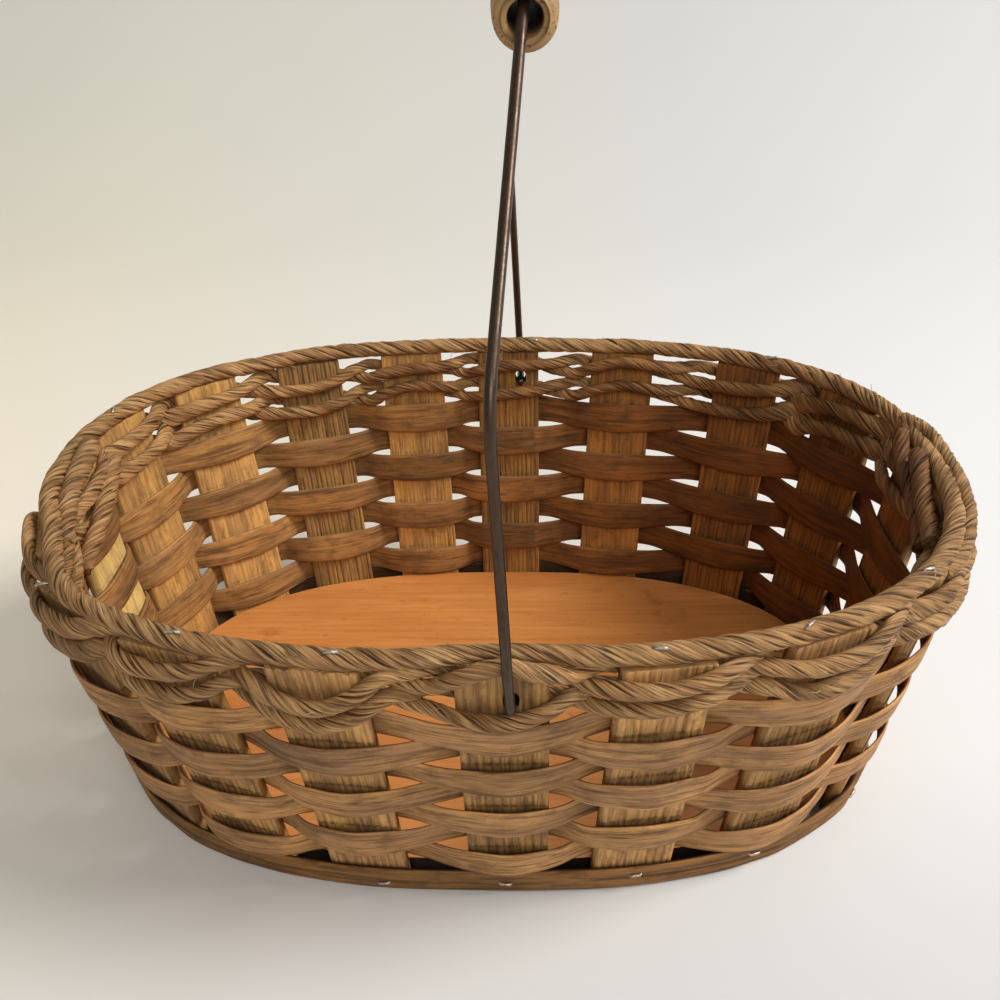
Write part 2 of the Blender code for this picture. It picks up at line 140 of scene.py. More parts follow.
# The heads that lean in do so between these heights, and reach this share of it under the rim
LEAN_FROM = 0.075
LEAN_TO = 0.150
LEAN_SHARE = 0.85

# How a woven path turns into a gap: where it leaves a slat as a share of the slat's half width,
# how much of its climb it has made there, how far past the edge it's in the gap, and how far
# it still stands off there
TURN_AT = 0.8
TURN_CLIMB = 0.42
GAP_MARGIN = 0.0015
GAP_STAND_OFF = 0.84
GAP_EASE = 0.45

# How far a splint bows off a slat's middle, outside and inside the wall
BOW_OUTSIDE = 0.0029
BOW_INSIDE = 0.0014

# Slats: rounded corners, points across a face, the deepest saw mark, and tops more ragged than
# the usual one. One slat is of paler wood.
SLAT_CORNER = 0.0006
SLAT_STEPS = 96
MARK_DEPTH = 0.00055
RAGGED_TOP = 0.0006
RAGGED_TOPS = {"stake_09": 0.0012}
PALE_SLAT = "stake_05"

# Cords: points round, points along, the length of one turn, and creases by place and strength
CORD_SIDES = 52
CORD_STEP = 0.0013
TWINE_PITCH = 0.032
TWINE_TONE = 1.08
RIM_PITCH = 0.036
TAIL_PITCH = 0.030
CREASES = (
    (0.03, 1.0), (0.14, 0.6), (0.25, 0.8), (0.37, 0.6), (0.50, 1.0), (0.62, 0.7), (0.74, 0.9), (0.87, 0.6),
)

# The twined pairs: name, height, height in the gaps at the front, heights outside and inside, seed
TWINES = (
    ("upper", UPPER_TWINE_HEIGHT, 0.1322, UPPER_OUTSIDE, UPPER_INSIDE, 21),
    ("lower", LOWER_TWINE_HEIGHT, 0.1222, LOWER_OUTSIDE, LOWER_INSIDE, 23),
)

# Where the rim cord's ends overlap, in degrees round the rim, and how far it is drawn in there
# and over the front handle slat
OVERLAP_ANGLE = 200
OVERLAP_SPREAD = 15
OVERLAP_INSET = 0.0085
HANDLE_INSET = 0.0034

# Cut ends of the cords, by name, seed and radius. Their points are given by degrees round the
# oval, distance in from the wall's middle, and height. Two stand inside the right end, two lie
# crushed inside the left end, and the lap leaves the rim at the right.
CORD_TAILS = (
    ("cord_tail_1", 41, 0.0030, (
        (6.5, 0.0085, 0.1430), (3.5, 0.0092, 0.1370), (-1.5, 0.0095, 0.1310),
        (-8.0, 0.0088, 0.1260), (-14.0, 0.0075, 0.1215))),
    ("cord_tail_2", 42, 0.0034, (
        (0.5, 0.0072, 0.1420), (-3.0, 0.0082, 0.1370), (-8.0, 0.0085, 0.1335),
        (-15.0, 0.0072, 0.1320), (-20.0, 0.0060, 0.1325))),
    ("cord_tail_3", 43, 0.0038, (
        (174.5, 0.0086, 0.1412), (179.0, 0.0094, 0.1392), (184.0, 0.0100, 0.1365),
        (190.0, 0.0106, 0.1335), (197.0, 0.0100, 0.1300))),
    ("cord_tail_4", 44, 0.0034, (
        (171.0, 0.0104, 0.1300), (175.0, 0.0128, 0.1262), (180.0, 0.0140, 0.1210),
        (186.0, 0.0128, 0.1150), (193.0, 0.0095, 0.1110))),
    ("cord_lap", 45, 0.0031, (
        (11.0, 0.0008, 0.1410), (6.0, -0.0022, 0.1420), (0.0, -0.0046, 0.1402), (-8.0, -0.0055, 0.1376),
        (-15.0, -0.0050, 0.1356), (-22.0, -0.0036, 0.1342), (-29.0, -0.0010, 0.1336))),
)

# Angles round the rim in degrees, and how far the staple is turned off the cord's run
RIM_STAPLES = (
    (46.5, 20), (86.8, -15), (162.1, 30), (183.9, -35), (213.2, 60), (242.2, 15), (259.9, 5), (284.1, -10),
    (301.4, 25), (324.4, -20),
)
# Angles round the foot in degrees, heights and turns
BAND_STAPLES = (
    (259.5, 0.0060, 8), (271.0, 0.0078, -5), (285.5, 0.0105, 4), (304.7, 0.0090, -8), (330.7, 0.0105, 12),
)
# How many loose fibres are looked for round the rim
FIBRES = 130

# The camera, fitted to the photograph
PHOTO_PIXELS = 1000
FOCAL_PIXELS = 1058.327
CAMERA_PLACE = Vector((0.022271, -0.385495, 0.365528))
CAMERA_RIGHT = Vector((0.9991995, 0.0291471, -0.0273997))
CAMERA_UP = Vector((0.0076329, 0.5334356, 0.8458062))
CAMERA_AHEAD = Vector((-0.0392688, 0.8453383, -0.5327861))

# How light each slat is inside the basket, and how deep its saw marks are
SLAT_LOOKS = {
    "handle_stake_back": (0.80, 1.00), "stake_01": (1.12, 0.45), "stake_02": (0.66, 1.00),
    "stake_03": (1.15, 0.30), "stake_04": (0.95, 0.55), "stake_05": (1.10, 0.40),
    "stake_13": (0.90, 0.60), "stake_14": (0.95, 0.90), "stake_15": (0.95, 1.00), "stake_16": (1.15, 0.45),
}

UP = Vector((0, 0, 1))


# Small helpers


def smooth_step(low, high, value):
    share = max(0.0, min(1.0, (value - low) / (high - low)))
    return share * share * (3 - 2 * share)


def noise_at(*place):
    return noise.noise(Vector(place))


def wave(seed, place, scale=1.0):
    """Smooth noise from -1 to 1 along one length."""
    return noise_at(place / scale, seed * 7.31, seed * 1.7 + 0.5)


def lengths_along(points):
    """How far along its path each point lies."""
    lengths = [0.0]
    for first, second in zip(points, points[1:]):
        lengths.append(lengths[-1] + (second - first).length)
    return lengths


def tangent_at(path, i, closed=False):
    """The direction of a path at one of its points."""
    if closed:
        return (path[(i + 1) % len(path)] - path[i - 1]).normalized()
    return (path[min(len(path) - 1, i + 1)] - path[max(0, i - 1)]).normalized()


def catmull(points, per_gap, closed):
    """Points along a smooth curve through the given ones."""
    count = len(points)
    result = []
    for i in range(count if closed else count - 1):
        if closed:
            p0, p1, p2, p3 = (points[(i + k - 1) % count] for k in range(4))
        else:
            p0, p1, p2, p3 = (points[max(0, min(count - 1, i + k - 1))] for k in range(4))
        t01 = max(1e-6, (p1 - p0).length ** 0.5)
        t12 = max(1e-6, (p2 - p1).length ** 0.5)
        t23 = max(1e-6, (p3 - p2).length ** 0.5)
        m1 = (p2 - p1) + t12 * ((p1 - p0) / t01 - (p2 - p0) / (t01 + t12))
        m2 = (p2 - p1) + t12 * ((p3 - p2) / t23 - (p3 - p1) / (t12 + t23))
        for step in range(per_gap):
            t = step / per_gap
            t2, t3 = t * t, t * t * t
            result.append(
                p1 * (2 * t3 - 3 * t2 + 1) + m1 * (t3 - 2 * t2 + t)
                + p2 * (3 * t2 - 2 * t3) + m2 * (t3 - t2)
            )
    if not closed:
        result.append(points[-1])
    return result


def places_along(lengths, targets):
    """The step of a path that each distance falls in, and its share of that step."""
    places = []
    index = 1
    for target in targets:
        while index < len(lengths) - 1 and lengths[index] < target:
            index += 1
        span = max(1e-9, lengths[index] - lengths[index - 1])
        places.append((index - 1, (target - lengths[index - 1]) / span))
    return places


def resample(points, step, closed):
    """Evenly spaced points along a path, with the path's length."""
    ring = points + [points[0]] if closed else points
    lengths = lengths_along(ring)
    count = max(4, round(lengths[-1] / step))
    targets = [lengths[-1] * i / count for i in range(count if closed else count + 1)]
    return [ring[i].lerp(ring[i + 1], share) for i, share in places_along(lengths, targets)], lengths[-1]


# Ovals and stakes, laid out as in the CAD part


def signed_power(value, power):
    return math.copysign(abs(value) ** power, value)


def oval_point(oval, angle, height=0.0, inset=0.0):
    return Vector((
        (oval[0] - inset) * signed_power(math.cos(angle), 2 / OVAL_POWER),
        (oval[1] - inset) * signed_power(math.sin(angle), 2 / OVAL_POWER),
        height,
    ))


def oval_tangent(oval, angle):
    step = math.pi / OVAL_STEPS
    return (oval_point(oval, angle + step) - oval_point(oval, angle - step)).normalized()


def outward(tangent):
    """The level direction out of the wall."""
    return Vector((tangent.y, -tangent.x, 0.0))


def oval_at(height):
    """The oval of the wall's middle at a height."""
    return [foot + (rim - foot) * height / WALL_HEIGHT for foot, rim in zip(FOOT, RIM)]


def rim_angle_at_x(x, front):
    angle = math.acos(signed_power(x / RIM[0], OVAL_POWER / 2))
    return math.tau - angle if front else angle


def angles_along_rim(start, end, spacing):
    """Angles between two others, so that the points on the rim are spaced as given."""
    angles = [start + (end - start) * i / OVAL_STEPS for i in range(OVAL_STEPS + 1)]
    lengths = lengths_along([oval_point(RIM, angle) for angle in angles])
    stretch = lengths[-1] / sum(spacing)
    targets = accumulate(gap * stretch for gap in spacing[:-1])
    return [angles[i] + (angles[i + 1] - angles[i]) * share for i, share in places_along(lengths, targets)]


def end_share(point):
    """How near a point is to either end of the oval, 0 to 1."""
    return smooth_step(0.118, 0.178, abs(point.x))


class Stake:
    """A slat's centre line and its level directions along and out of the wall."""

    def __init__(self, index, angle, name):
        self.index = index
        self.name = name
        self.foot = oval_point(FOOT, angle)
        self.head = oval_point(RIM, angle, WALL_HEIGHT)
        self.up = (self.head - self.foot).normalized()
        self.along = oval_tangent(FOOT, angle)
        self.out = outward(self.along)
        across = self.along.cross(self.up)
        self.normal = across.normalized()
        self.across = self.up.cross(self.normal)
        self.half = STAKE_WIDTH / 2 / across.length
        self.stretch = 1 / self.normal.dot(self.out)
        self.end_share = end_share(self.head)
        self.drawn_in = HEADS_DRAWN_IN.get(index, 0.0)

    def lean(self, height):
        """How the slat's centre line is moved by its head's lean."""
        return self.out * (-self.drawn_in * smooth_step(LEAN_FROM, LEAN_TO, height) / LEAN_SHARE)

    def point(self, along, out, height):
        centre = self.foot.lerp(self.head, height / WALL_HEIGHT) + self.lean(height)
        return centre + self.along * along + self.out * (out * self.stretch)


def make_stakes():
    """The back handle's slat, nine to the front by the left end, the front one, and seven back."""
    back = rim_angle_at_x(HANDLE_STAKE_BACK_X, front=False)
    front = rim_angle_at_x(HANDLE_STAKE_FRONT_X, front=True)
    left = angles_along_rim(back, front, LEFT_SPACING)
    right = angles_along_rim(front, back + math.tau, RIGHT_SPACING)
    laid = [(back, "handle_stake_back")]
    laid += [(angle, f"stake_{i:02d}") for i, angle in enumerate(left, 1)]
    laid.append((front, "handle_stake_front"))
    laid += [(angle, f"stake_{i:02d}") for i, angle in enumerate(right, FRONT_HANDLE)]
    return [Stake(index, angle, name) for index, (angle, name) in enumerate(laid)]


STAKES = make_stakes()


# Places on the basket, each as a share from 0 to 1


def age_at(point):
    """How deep the painted shade inside the wall is, from the lit left end to the shaded right end."""
    return smooth_step(-0.16, 0.15, point.x)


def front_left_shade(point):
    """How near a place is to the front of the left end, which is painted darker as shade."""
    return smooth_step(0.05, 0.15, -point.x) * smooth_step(0.025, 0.07, -point.y)


def outside_share(point):
    """1 for a point outside the wall or on its middle, and 0 for one inside."""
    reach = sum((abs(place) / half) ** OVAL_POWER for place, half in zip(point, oval_at(point.z)))
    return smooth_step(0.960, 0.995, reach ** (1 / OVAL_POWER))


def by_front_handle(point):
    """How near a point of the rim is to the front handle slat."""
    if point.y >= 0:
        return 0.0
    return math.exp(-((point.x - STAKES[FRONT_HANDLE].head.x) / 0.024) ** 2)


# Meshes and objects


def new_object(name, data):
    item = bpy.data.objects.new(name, data)
    bpy.context.scene.collection.objects.link(item)
    return item


def new_mesh(name, vertices, faces, material):
    mesh = bpy.data.meshes.new(name)
    mesh.from_pydata(vertices, [], faces)
    mesh.shade_smooth()
    mesh.materials.append(material)
    return mesh


def face_out(mesh):
    """Turn the mesh's faces outwards."""
    bm = bmesh.new()
    bm.from_mesh(mesh)
    bmesh.ops.recalc_face_normals(bm, faces=bm.faces)
    bm.to_mesh(mesh)
    bm.free()


def tube_faces(count, around, closed, start=0):
    """Faces that join rings of points, with flat ends if the tube is open."""
    def corner(i, j):
        return start + (i % count) * around + j % around

    faces = [
        (corner(i, j), corner(i, j + 1), corner(i + 1, j + 1), corner(i + 1, j))
        for i in range(count if closed else count - 1) for j in range(around)
    ]
    if not closed:
        faces.append(tuple(corner(0, j) for j in range(around - 1, -1, -1)))
        faces.append(tuple(corner(count - 1, j) for j in range(around)))
    return faces


def lofted(name, rings, closed, across, along, material, values=None):
    """A closed mesh through rings of points, with a uv in metres and named values on its points."""
    count = len(rings)
    around = len(rings[0])
    corner_uvs = []
    for i in range(count if closed else count - 1):
        for j in range(around):
            corner_uvs += [
                (across[j], along[i]), (across[j + 1], along[i]),
                (across[j + 1], along[i + 1]), (across[j], along[i + 1]),
            ]
    if not closed:
        corner_uvs += [(across[j], along[0]) for j in range(around - 1, -1, -1)]
        corner_uvs += [(across[j], along[count - 1]) for j in range(around)]
    vertices = [point for ring in rings for point in ring]
    mesh = new_mesh(name, vertices, tube_faces(count, around, closed), material)
    layer = mesh.uv_layers.new(name="lay")
    for place, value in zip(layer.data, corner_uvs):
        place.uv = value
    for key, numbers in (values or {}).items():
        attribute = mesh.attributes.new(key, "FLOAT", "POINT")
        attribute.data.foreach_set("value", numbers)
    face_out(mesh)
    return new_object(name, mesh)


def note(values, **numbers):
    """Add the next point's number to each named list."""
    for key, number in numbers.items():
        values.setdefault(key, []).append(number)


def tube_rings(path, radius_at, around, side=None):
    """Rings round an open path, carried along it without twist."""
    if side is None:
        side = tangent_at(path, 0).orthogonal().normalized()
    turns = [math.tau * j / around for j in range(around)]
    rings = []
    for i, point in enumerate(path):
        tangent = tangent_at(path, i)
        side = (side - tangent * side.dot(tangent)).normalized()
        up = side.cross(tangent)
        radius = radius_at(i)
        rings.append([point + (side * math.cos(turn) + up * math.sin(turn)) * radius for turn in turns])
    return rings


def thin_rings(path, radius, around):
    """Rings of a thin round piece, narrower at its ends."""
    return tube_rings(path, lambda i: radius * (0.6 if i in (0, len(path) - 1) else 1.0), around)


def joined_tubes(name, tubes, material, slot):
    """Many thin closed pieces as one object on the basket."""
    vertices = []
    faces = []
    for rings in tubes:
        faces += tube_faces(len(rings), len(rings[0]), False, len(vertices))
        vertices += [point for ring in rings for point in ring]
    mesh = new_mesh(name, vertices, faces, material)
    face_out(mesh)
    dress(new_object(name, mesh), "basket", slot)


def dress(item, body, slot, *nodes):
    """Let a piece ride a body and stand for CAD nodes. Its slot is not used."""
    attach(item, body)
    if nodes:
        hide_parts(*nodes)


# Materials


class Nodes:
    """A short way to write a node tree."""

    def __init__(self, name):
        self.material = bpy.data.materials.new(name)
        self.material.use_nodes = True
        self.tree = self.material.node_tree
        self.shader = self.tree.nodes["Principled BSDF"]

    def add(self, kind, inputs=None, **settings):
        node = self.tree.nodes.new("ShaderNode" + kind)
        for key, value in settings.items():
            setattr(node, key, value)
        self.fill(node, inputs or {})
        return node

    def fill(self, node, inputs):
        """Link or set a node's inputs, by their names or numbers."""
        for key, value in inputs.items():
            if isinstance(value, bpy.types.NodeSocket):
                self.tree.links.new(value, node.inputs[key])
            elif isinstance(value, tuple) and node.inputs[key].type == "RGBA":
                node.inputs[key].default_value = (*value, 1.0)
            elif value is not None:
                node.inputs[key].default_value = value

    def uv(self):
        return self.add("UVMap", uv_map="lay").outputs["UV"]

    def value(self, name):
        return self.add("Attribute", attribute_name=name).outputs["Fac"]

    def object_place(self):
        return self.add("TexCoord").outputs["Object"]

    def own_place(self):
        """The uv, moved to the piece's own part of every noise."""
        shift = self.add("CombineXYZ", {"Z": self.value("batch")}).outputs[0]
        return self.add("VectorMath", {0: self.uv(), 1: shift}, operation="ADD").outputs[0]

    def noise(self, vector, scale, detail=4.0, rough=0.55, distortion=0.0, offset=(0, 0, 0)):
        place = self.add("Mapping", {"Vector": vector, "Scale": scale, "Location": offset}).outputs["Vector"]
        return self.add("TexNoise", {
            "Vector": place, "Scale": 1.0, "Detail": detail, "Roughness": rough, "Distortion": distortion,
        }).outputs["Fac"]

    def ramp(self, value, low, high, out_low=0.0, out_high=1.0):
        return self.add("MapRange", {
            "Value": value, "From Min": low, "From Max": high, "To Min": out_low, "To Max": out_high,
        }).outputs["Result"]

    def math(self, operation, first, second=0.0):
        return self.add("Math", {0: first, 1: second}, operation=operation).outputs[0]

    def folds(self, value, width):
        """Thin lines where a noise crosses its middle."""
        away = self.math("ABSOLUTE", self.math("SUBTRACT", value, 0.5))
        return self.ramp(away, 0.0, width, 1.0, 0.0)

    def mix(self, share, first, second, blend="MIX"):
        """Mix two colours. The node's sockets share their names, so they are taken by number."""
        inputs = {0: share, 6: first, 7: second}
        return self.add("Mix", inputs, data_type="RGBA", blend_type=blend).outputs[2]

    def over(self, colour, tone, value, low, high, most=1.0):
        """Lay a tone over a colour, from none where a value is low to the most where it's high."""
        return self.mix(self.ramp(value, low, high, 0.0, most), colour, tone)

    def shaded(self, colour, shade):
        grey = self.add("CombineColor", {"Red": shade, "Green": shade, "Blue": shade}).outputs[0]
        return self.mix(1.0, colour, grey, "MULTIPLY")

    def bump(self, height, strength, distance, normal=None):
        inputs = {"Height": height, "Strength": strength, "Distance": distance, "Normal": normal}
        return self.add("Bump", inputs).outputs["Normal"]

    def finish(self, colour, roughness, normal=None, metallic=0.0, specular=0.4):
        self.fill(self.shader, {
            "Base Color": colour, "Roughness": roughness, "Metallic": metallic,
            "Specular IOR Level": specular, "Normal": normal,
        })
        return self.material


def wood_strip(name, streaks_across, contrast, lit_end_inside, inner, outer, dark):
    """Wood with its grain along the uv's v: one tone outside, and inside painted light turning to shade."""
    n = Nodes(name)
    shade = n.value("shade")
    place = n.own_place()
    side = n.ramp(n.value("side"), -0.3, 0.3)
    broad = n.noise(place, (90, 14, 3), 4.0, 0.6)
    streaks = n.noise(place, (streaks_across, 26, 5), 5.0, 0.68, 0.5)
    fine = n.noise(place, (streaks_across * 3.2, 90, 7), 3.0, 0.65)
    lines = n.folds(n.noise(place, (streaks_across * 0.6, 8, 5), 3.0, 0.5, 0.3, (4, 1, 0)), 0.022)
    spots = n.noise(place, (110, 70, 4), 5.0, 0.65, 0.0, (3, 1, 0))
    # Inside: painted light at the left end, painted shade at the right
    colour = n.mix(side, n.mix(n.value("age"), lit_end_inside, inner), outer)
    pale = n.mix(0.80, colour, (1.0, 0.86, 0.60), "SOFT_LIGHT")
    deep = n.mix(0.66, colour, dark)
    colour = n.over(colour, pale, broad, 0.36, 0.64)
    colour = n.over(colour, deep, streaks, 0.47, 0.68, contrast)
    colour = n.over(colour, dark, fine, 0.50, 0.70, 0.55 * contrast)
    colour = n.mix(n.math("MULTIPLY", lines, 0.45 * contrast), colour, dark)
    colour = n.over(colour, deep, spots, 0.52, 0.70, 0.75)
    colour = n.shaded(colour, shade)
    # Dirt and painted shadow beside the splints, with a ragged edge
    ragged = n.noise(place, (620, 130, 5), 3.0, 0.6, 0.0, (2, 5, 0))
    stain = n.math("MULTIPLY", n.value("stain"), n.ramp(ragged, 0.36, 0.58, 0.15, 1.45))
    colour = n.over(colour, n.mix(0.25, dark, colour), stain, 0.20, 0.80, 0.72)
    # Cracks, splits and saw marks are darkened: painted shade in their hollows
    colour = n.over(colour, dark, n.value("groove"), 0.15, 0.95, 0.80)
    normal = n.bump(streaks, 0.5, 0.0004)
    normal = n.bump(fine, 0.5, 0.00025, normal)
    normal = n.bump(lines, 0.35, -0.0002, normal)
    rough = n.ramp(streaks, 0.3, 0.7, 0.60, 0.80)
    return n.finish(colour, rough, normal, specular=0.3)


def cord_material(name, colour, light, dark):
    """Twisted paper rush: fine folds and slits that follow the twist of the mesh."""
    n = Nodes(name)
    place = n.own_place()
    soft = n.noise(place, (7, 26, 5), 3.0, 0.55, 0.3)
    folds = n.noise(place, (20, 44, 5), 4.0, 0.60, 0.3, (7, 4, 0))
    slits = n.noise(place, (36, 66, 5), 3.0, 0.60, 0.2, (1, 7, 0))
    fibres = n.noise(place, (90, 110, 5), 3.0, 0.62)
    cloud = n.noise(place, (2.5, 34, 3), 4.0, 0.6)
    base = n.over(colour, light, cloud, 0.34, 0.66)
    base = n.over(base, n.mix(0.60, base, dark), soft, 0.47, 0.68, 0.78)
    # Painted highlight on the fold ridges, and painted shade in the fold creases and slits
    base = n.mix(n.ramp(folds, 0.32, 0.47, 0.60, 0.0), base, n.mix(0.6, base, (0.80, 0.60, 0.34)))
    base = n.over(base, n.mix(0.64, base, dark), folds, 0.51, 0.63, 0.85)
    base = n.over(base, n.mix(0.72, base, dark), fibres, 0.48, 0.68, 0.50)
    base = n.over(base, dark, slits, 0.55, 0.63, 0.90)
    # Painted shade on cords inside the wall, towards the back and the right
    aged = n.mix(1.0, base, (0.46, 0.32, 0.19), "MULTIPLY")
    base = n.mix(n.math("MULTIPLY", n.value("age"), 0.85), base, aged)
    # The creases are darkened: painted shade
    base = n.over(base, dark, n.value("groove"), 0.12, 0.70, 0.95)
    base = n.shaded(base, n.value("shade"))
    normal = n.bump(soft, 0.40, 0.0007)
    normal = n.bump(folds, 0.75, -0.0009, normal)
    normal = n.bump(slits, 0.75, -0.0006, normal)
    rough = n.ramp(fibres, 0.3, 0.7, 0.55, 0.78)
    return n.finish(base, rough, normal, specular=0.32)


# Inside the wall each wood is painted lighter at the left end and darker, as shade, at the right
SPLINT_WOOD = wood_strip(
    "splint_wood", 420, 0.95,
    lit_end_inside=(0.310, 0.158, 0.058), inner=(0.140, 0.041, 0.005), outer=(0.380, 0.198, 0.084),
    dark=(0.038, 0.016, 0.005))
# The band's inside is painted near black at both ends, as the shade in its channel by the board
BAND_WOOD = wood_strip(
    "band_wood", 340, 0.9,
    lit_end_inside=(0.058, 0.027, 0.010), inner=(0.050, 0.022, 0.008), outer=(0.230, 0.110, 0.034),
    dark=(0.038, 0.016, 0.005))
STAKE_WOOD = wood_strip(
    "stake_wood", 300, 0.75,
    lit_end_inside=(0.520, 0.270, 0.090), inner=(0.250, 0.088, 0.015), outer=(0.480, 0.256, 0.102),
    dark=(0.046, 0.019, 0.006))
PALE_WOOD = wood_strip(
    "pale_stake_wood", 260, 0.7,
    lit_end_inside=(0.640, 0.430, 0.160), inner=(0.640, 0.430, 0.160), outer=(0.330, 0.175, 0.062),
    dark=(0.140, 0.070, 0.024))
RUSH = cord_material(
    "rush_cord", colour=(0.445, 0.214, 0.070), light=(0.660, 0.368, 0.140), dark=(0.045, 0.018, 0.005))


# Woven rows


def woven_controls(sides, level_at, gap_level, out_at, edge_margin, rise=0.0):
    """Control points of a path that passes each stake on its side of the wall.

    level_at gives its height at a stake, gap_level its height between a stake and the next one,
    and out_at how far it stands off a stake at its middle and at its edges. In a gap it rises
    from an outer side and sinks from an inner one.
    """
    points = []
    count = len(STAKES)
    for i, stake in enumerate(STAKES):
        j = (i + 1) % count
        following = STAKES[j]
        middle_out, edge_out = out_at(i)
        _, next_edge_out = out_at(j)
        reach = stake.half + edge_margin
        next_reach = following.half + edge_margin
        between = gap_level(i) + rise * sides[i]
        before = gap_level(i - 1) + rise * sides[i - 1]
        here = level_at(i)
        points += [
            stake.point(-reach * TURN_AT, sides[i] * edge_out, here + (before - here) * TURN_CLIMB),
            stake.point(0.0, sides[i] * middle_out, here),
            stake.point(reach * TURN_AT, sides[i] * edge_out, here + (between - here) * TURN_CLIMB),
        ]
        leave = stake.point(reach + GAP_MARGIN, sides[i] * edge_out * GAP_STAND_OFF, between)
        arrive = following.point(-next_reach - GAP_MARGIN, sides[j] * next_edge_out * GAP_STAND_OFF, between)
        middle = (leave + arrive) / 2
        points += [leave.lerp(middle, GAP_EASE), middle, arrive.lerp(middle, GAP_EASE)]
    return points


def strip_profile(flat):
    """Places across a strip, 0 to 1 with rounded edges past them, and through it, -0.5 to 0.5."""
    profile = [(k / flat, 0.5) for k in range(flat + 1)]
    profile.append((1.016, 0.0))
    profile += [(1 - k / flat, -0.5) for k in range(flat + 1)]
    profile.append((-0.016, 0.0))
    return profile


def strip(name, paths, width, thickness, relief, shade_at, seed, material):
    """A smooth strip between two closed paths; relief lifts its surface and paints shade into its cracks."""
    lower, upper = paths
    profile = strip_profile(12)
    rings = []
    values = {}
    for i, start in enumerate(lower):
        following = (i + 1) % len(lower)
        tangent = (lower[following] - lower[i - 1] + upper[following] - upper[i - 1]).normalized()
        up = upper[i] - start
        normal = tangent.cross(up).normalized()
        thick = thickness * (1.0 + 0.12 * wave(seed + 31, i, 12.0))
        # The front of the left end is painted darker, as shade
        shade = shade_at(i) * (1.0 - 0.22 * front_left_shade(start))
        # Painted shade inside, deeper towards the right
        age = age_at(start)
        ring = []
        for across, depth in profile:
            from_middle = abs(across - 0.5) * 2
            thinned = 1.0 - 0.4 * smooth_step(0.74, 1.0, from_middle)
            worn = 1.0 + 0.14 * smooth_step(0.85, 1.0, from_middle)
            lift, groove = relief(i, across, depth)
            ring.append(start + up * across + normal * (depth * thick * thinned + lift))
            note(
                values, side=depth * 2, batch=seed * 0.37, shade=shade * worn, groove=groove, stain=0.0,
                age=age)
        rings.append(ring)
    across_values = [a * width + (0.05 if d < 0 else 0.0) + seed * 0.13 for a, d in profile]
    across_values.append(across_values[0])
    return lofted(name, rings, True, across_values, lengths_along(lower + lower[:1]), material, values)


def weave_rise(index, row):
    """How far a row rides up at a slat, most in the middle of the wall."""
    return WEAVE_RISES.get(index, 0.0) * (0.5 + math.sin(math.pi * (row + 0.5) / WEAVER_ROWS) ** 2)


def splint_edges(index, row):
    """Bottom and top of a row where it crosses a slat."""
    outside = (index + row) % 2 == 0
    spread = SPREAD_OUTSIDE if outside else SPREAD_INSIDE
    bottom = FIRST_ROW_BOTTOM + row * ROW_PITCH + weave_rise(index, row)
    return bottom - spread, bottom + WEAVER_WIDTH + spread


def splint(row):
    """One row of splint, bowed round the stakes, with long cracks here and there."""
    seed = row + 1
    count = len(STAKES)
    sides = [1 if (i + row) % 2 == 0 else -1 for i in range(count)]
    offset = STAKE_FACE + WEAVER_THICKNESS / 2

    def out_at(i):
        bow = BOW_OUTSIDE if sides[i] > 0 else BOW_INSIDE
        bow *= 1.0 + 0.35 * wave(seed + 3, i * 3.1, 1.3)
        return offset + bow, offset + bow * 0.30

    paths = []
    for edge in (0, 1):
        def level_at(i, edge=edge):
            return splint_edges(i, row)[edge] + 0.0003 * wave(seed, i * 3.7, 2.0)

        def gap_level(i, edge=edge):
            rise = (weave_rise(i, row) + weave_rise((i + 1) % count, row)) / 2
            return FIRST_ROW_BOTTOM + row * ROW_PITCH + rise + edge * WEAVER_WIDTH
        paths.append(catmull(woven_controls(sides, level_at, gap_level, out_at, 0.0004), 6, True))

    def relief(i, across, depth):
        tilt = 0.0006 * wave(seed + 23, i, 16.0)
        lift = tilt * (2 * across - 1) + 0.0002 * wave(seed + 11, i, 9.0)
        groove = 0.0
        if depth > 0.4:
            for number, centre in enumerate((0.24, 0.74)):
                place = centre + 0.10 * wave(seed * 3 + number, i, 22.0)
                opened = smooth_step(0.12, 0.38, wave(seed * 5 + number * 7, i, 14.0))
                groove = max(groove, opened * max(0.0, 1 - abs(across - place) / 0.065))
        return lift - 0.0004 * groove, groove * 0.9

    def shade_at(i):
        return 1.0 + 0.40 * wave(seed + 5, i, 18.0) + 0.08 * math.sin(seed * 2.1)

    item = strip(
        f"woven_splint_{seed}", paths, WEAVER_WIDTH, WEAVER_THICKNESS, relief, shade_at, seed, SPLINT_WOOD)
    dress(item, "basket", "splint", f"weaver_row_{seed}")


def foot_band():
    """The strip round the feet, with a long split that comes and goes."""
    offset = STAKE_FACE + BAND_THICKNESS / 2
    paths = []
    for level in (0.0006, BAND_HEIGHT - 0.0004):
        points = []
        for stake in STAKES:
            points += [
                stake.point(-stake.half * TURN_AT, offset, level),
                stake.point(0.0, offset + 0.0003, level),
                stake.point(stake.half * TURN_AT, offset, level),
            ]
        paths.append(catmull(points, 7, True))

    def relief(i, across, depth):
        if depth < 0.5:
            return 0.0, 0.0
        centre = 0.55 + 0.12 * wave(3, i, 30.0)
        share = math.exp(-((across - centre) / 0.05) ** 2) * smooth_step(-0.12, 0.25, wave(8, i, 50.0))
        return -0.0008 * share, share

    def shade_at(i):
        return 0.95 + 0.25 * wave(4, i, 40.0)

    item = strip("foot_band", paths, BAND_HEIGHT, BAND_THICKNESS, relief, shade_at, 9, BAND_WOOD)
    dress(item, "basket", "splint", "bottom_band")


for each_row in range(WEAVER_ROWS):
    splint(each_row)
foot_band()


# Slats


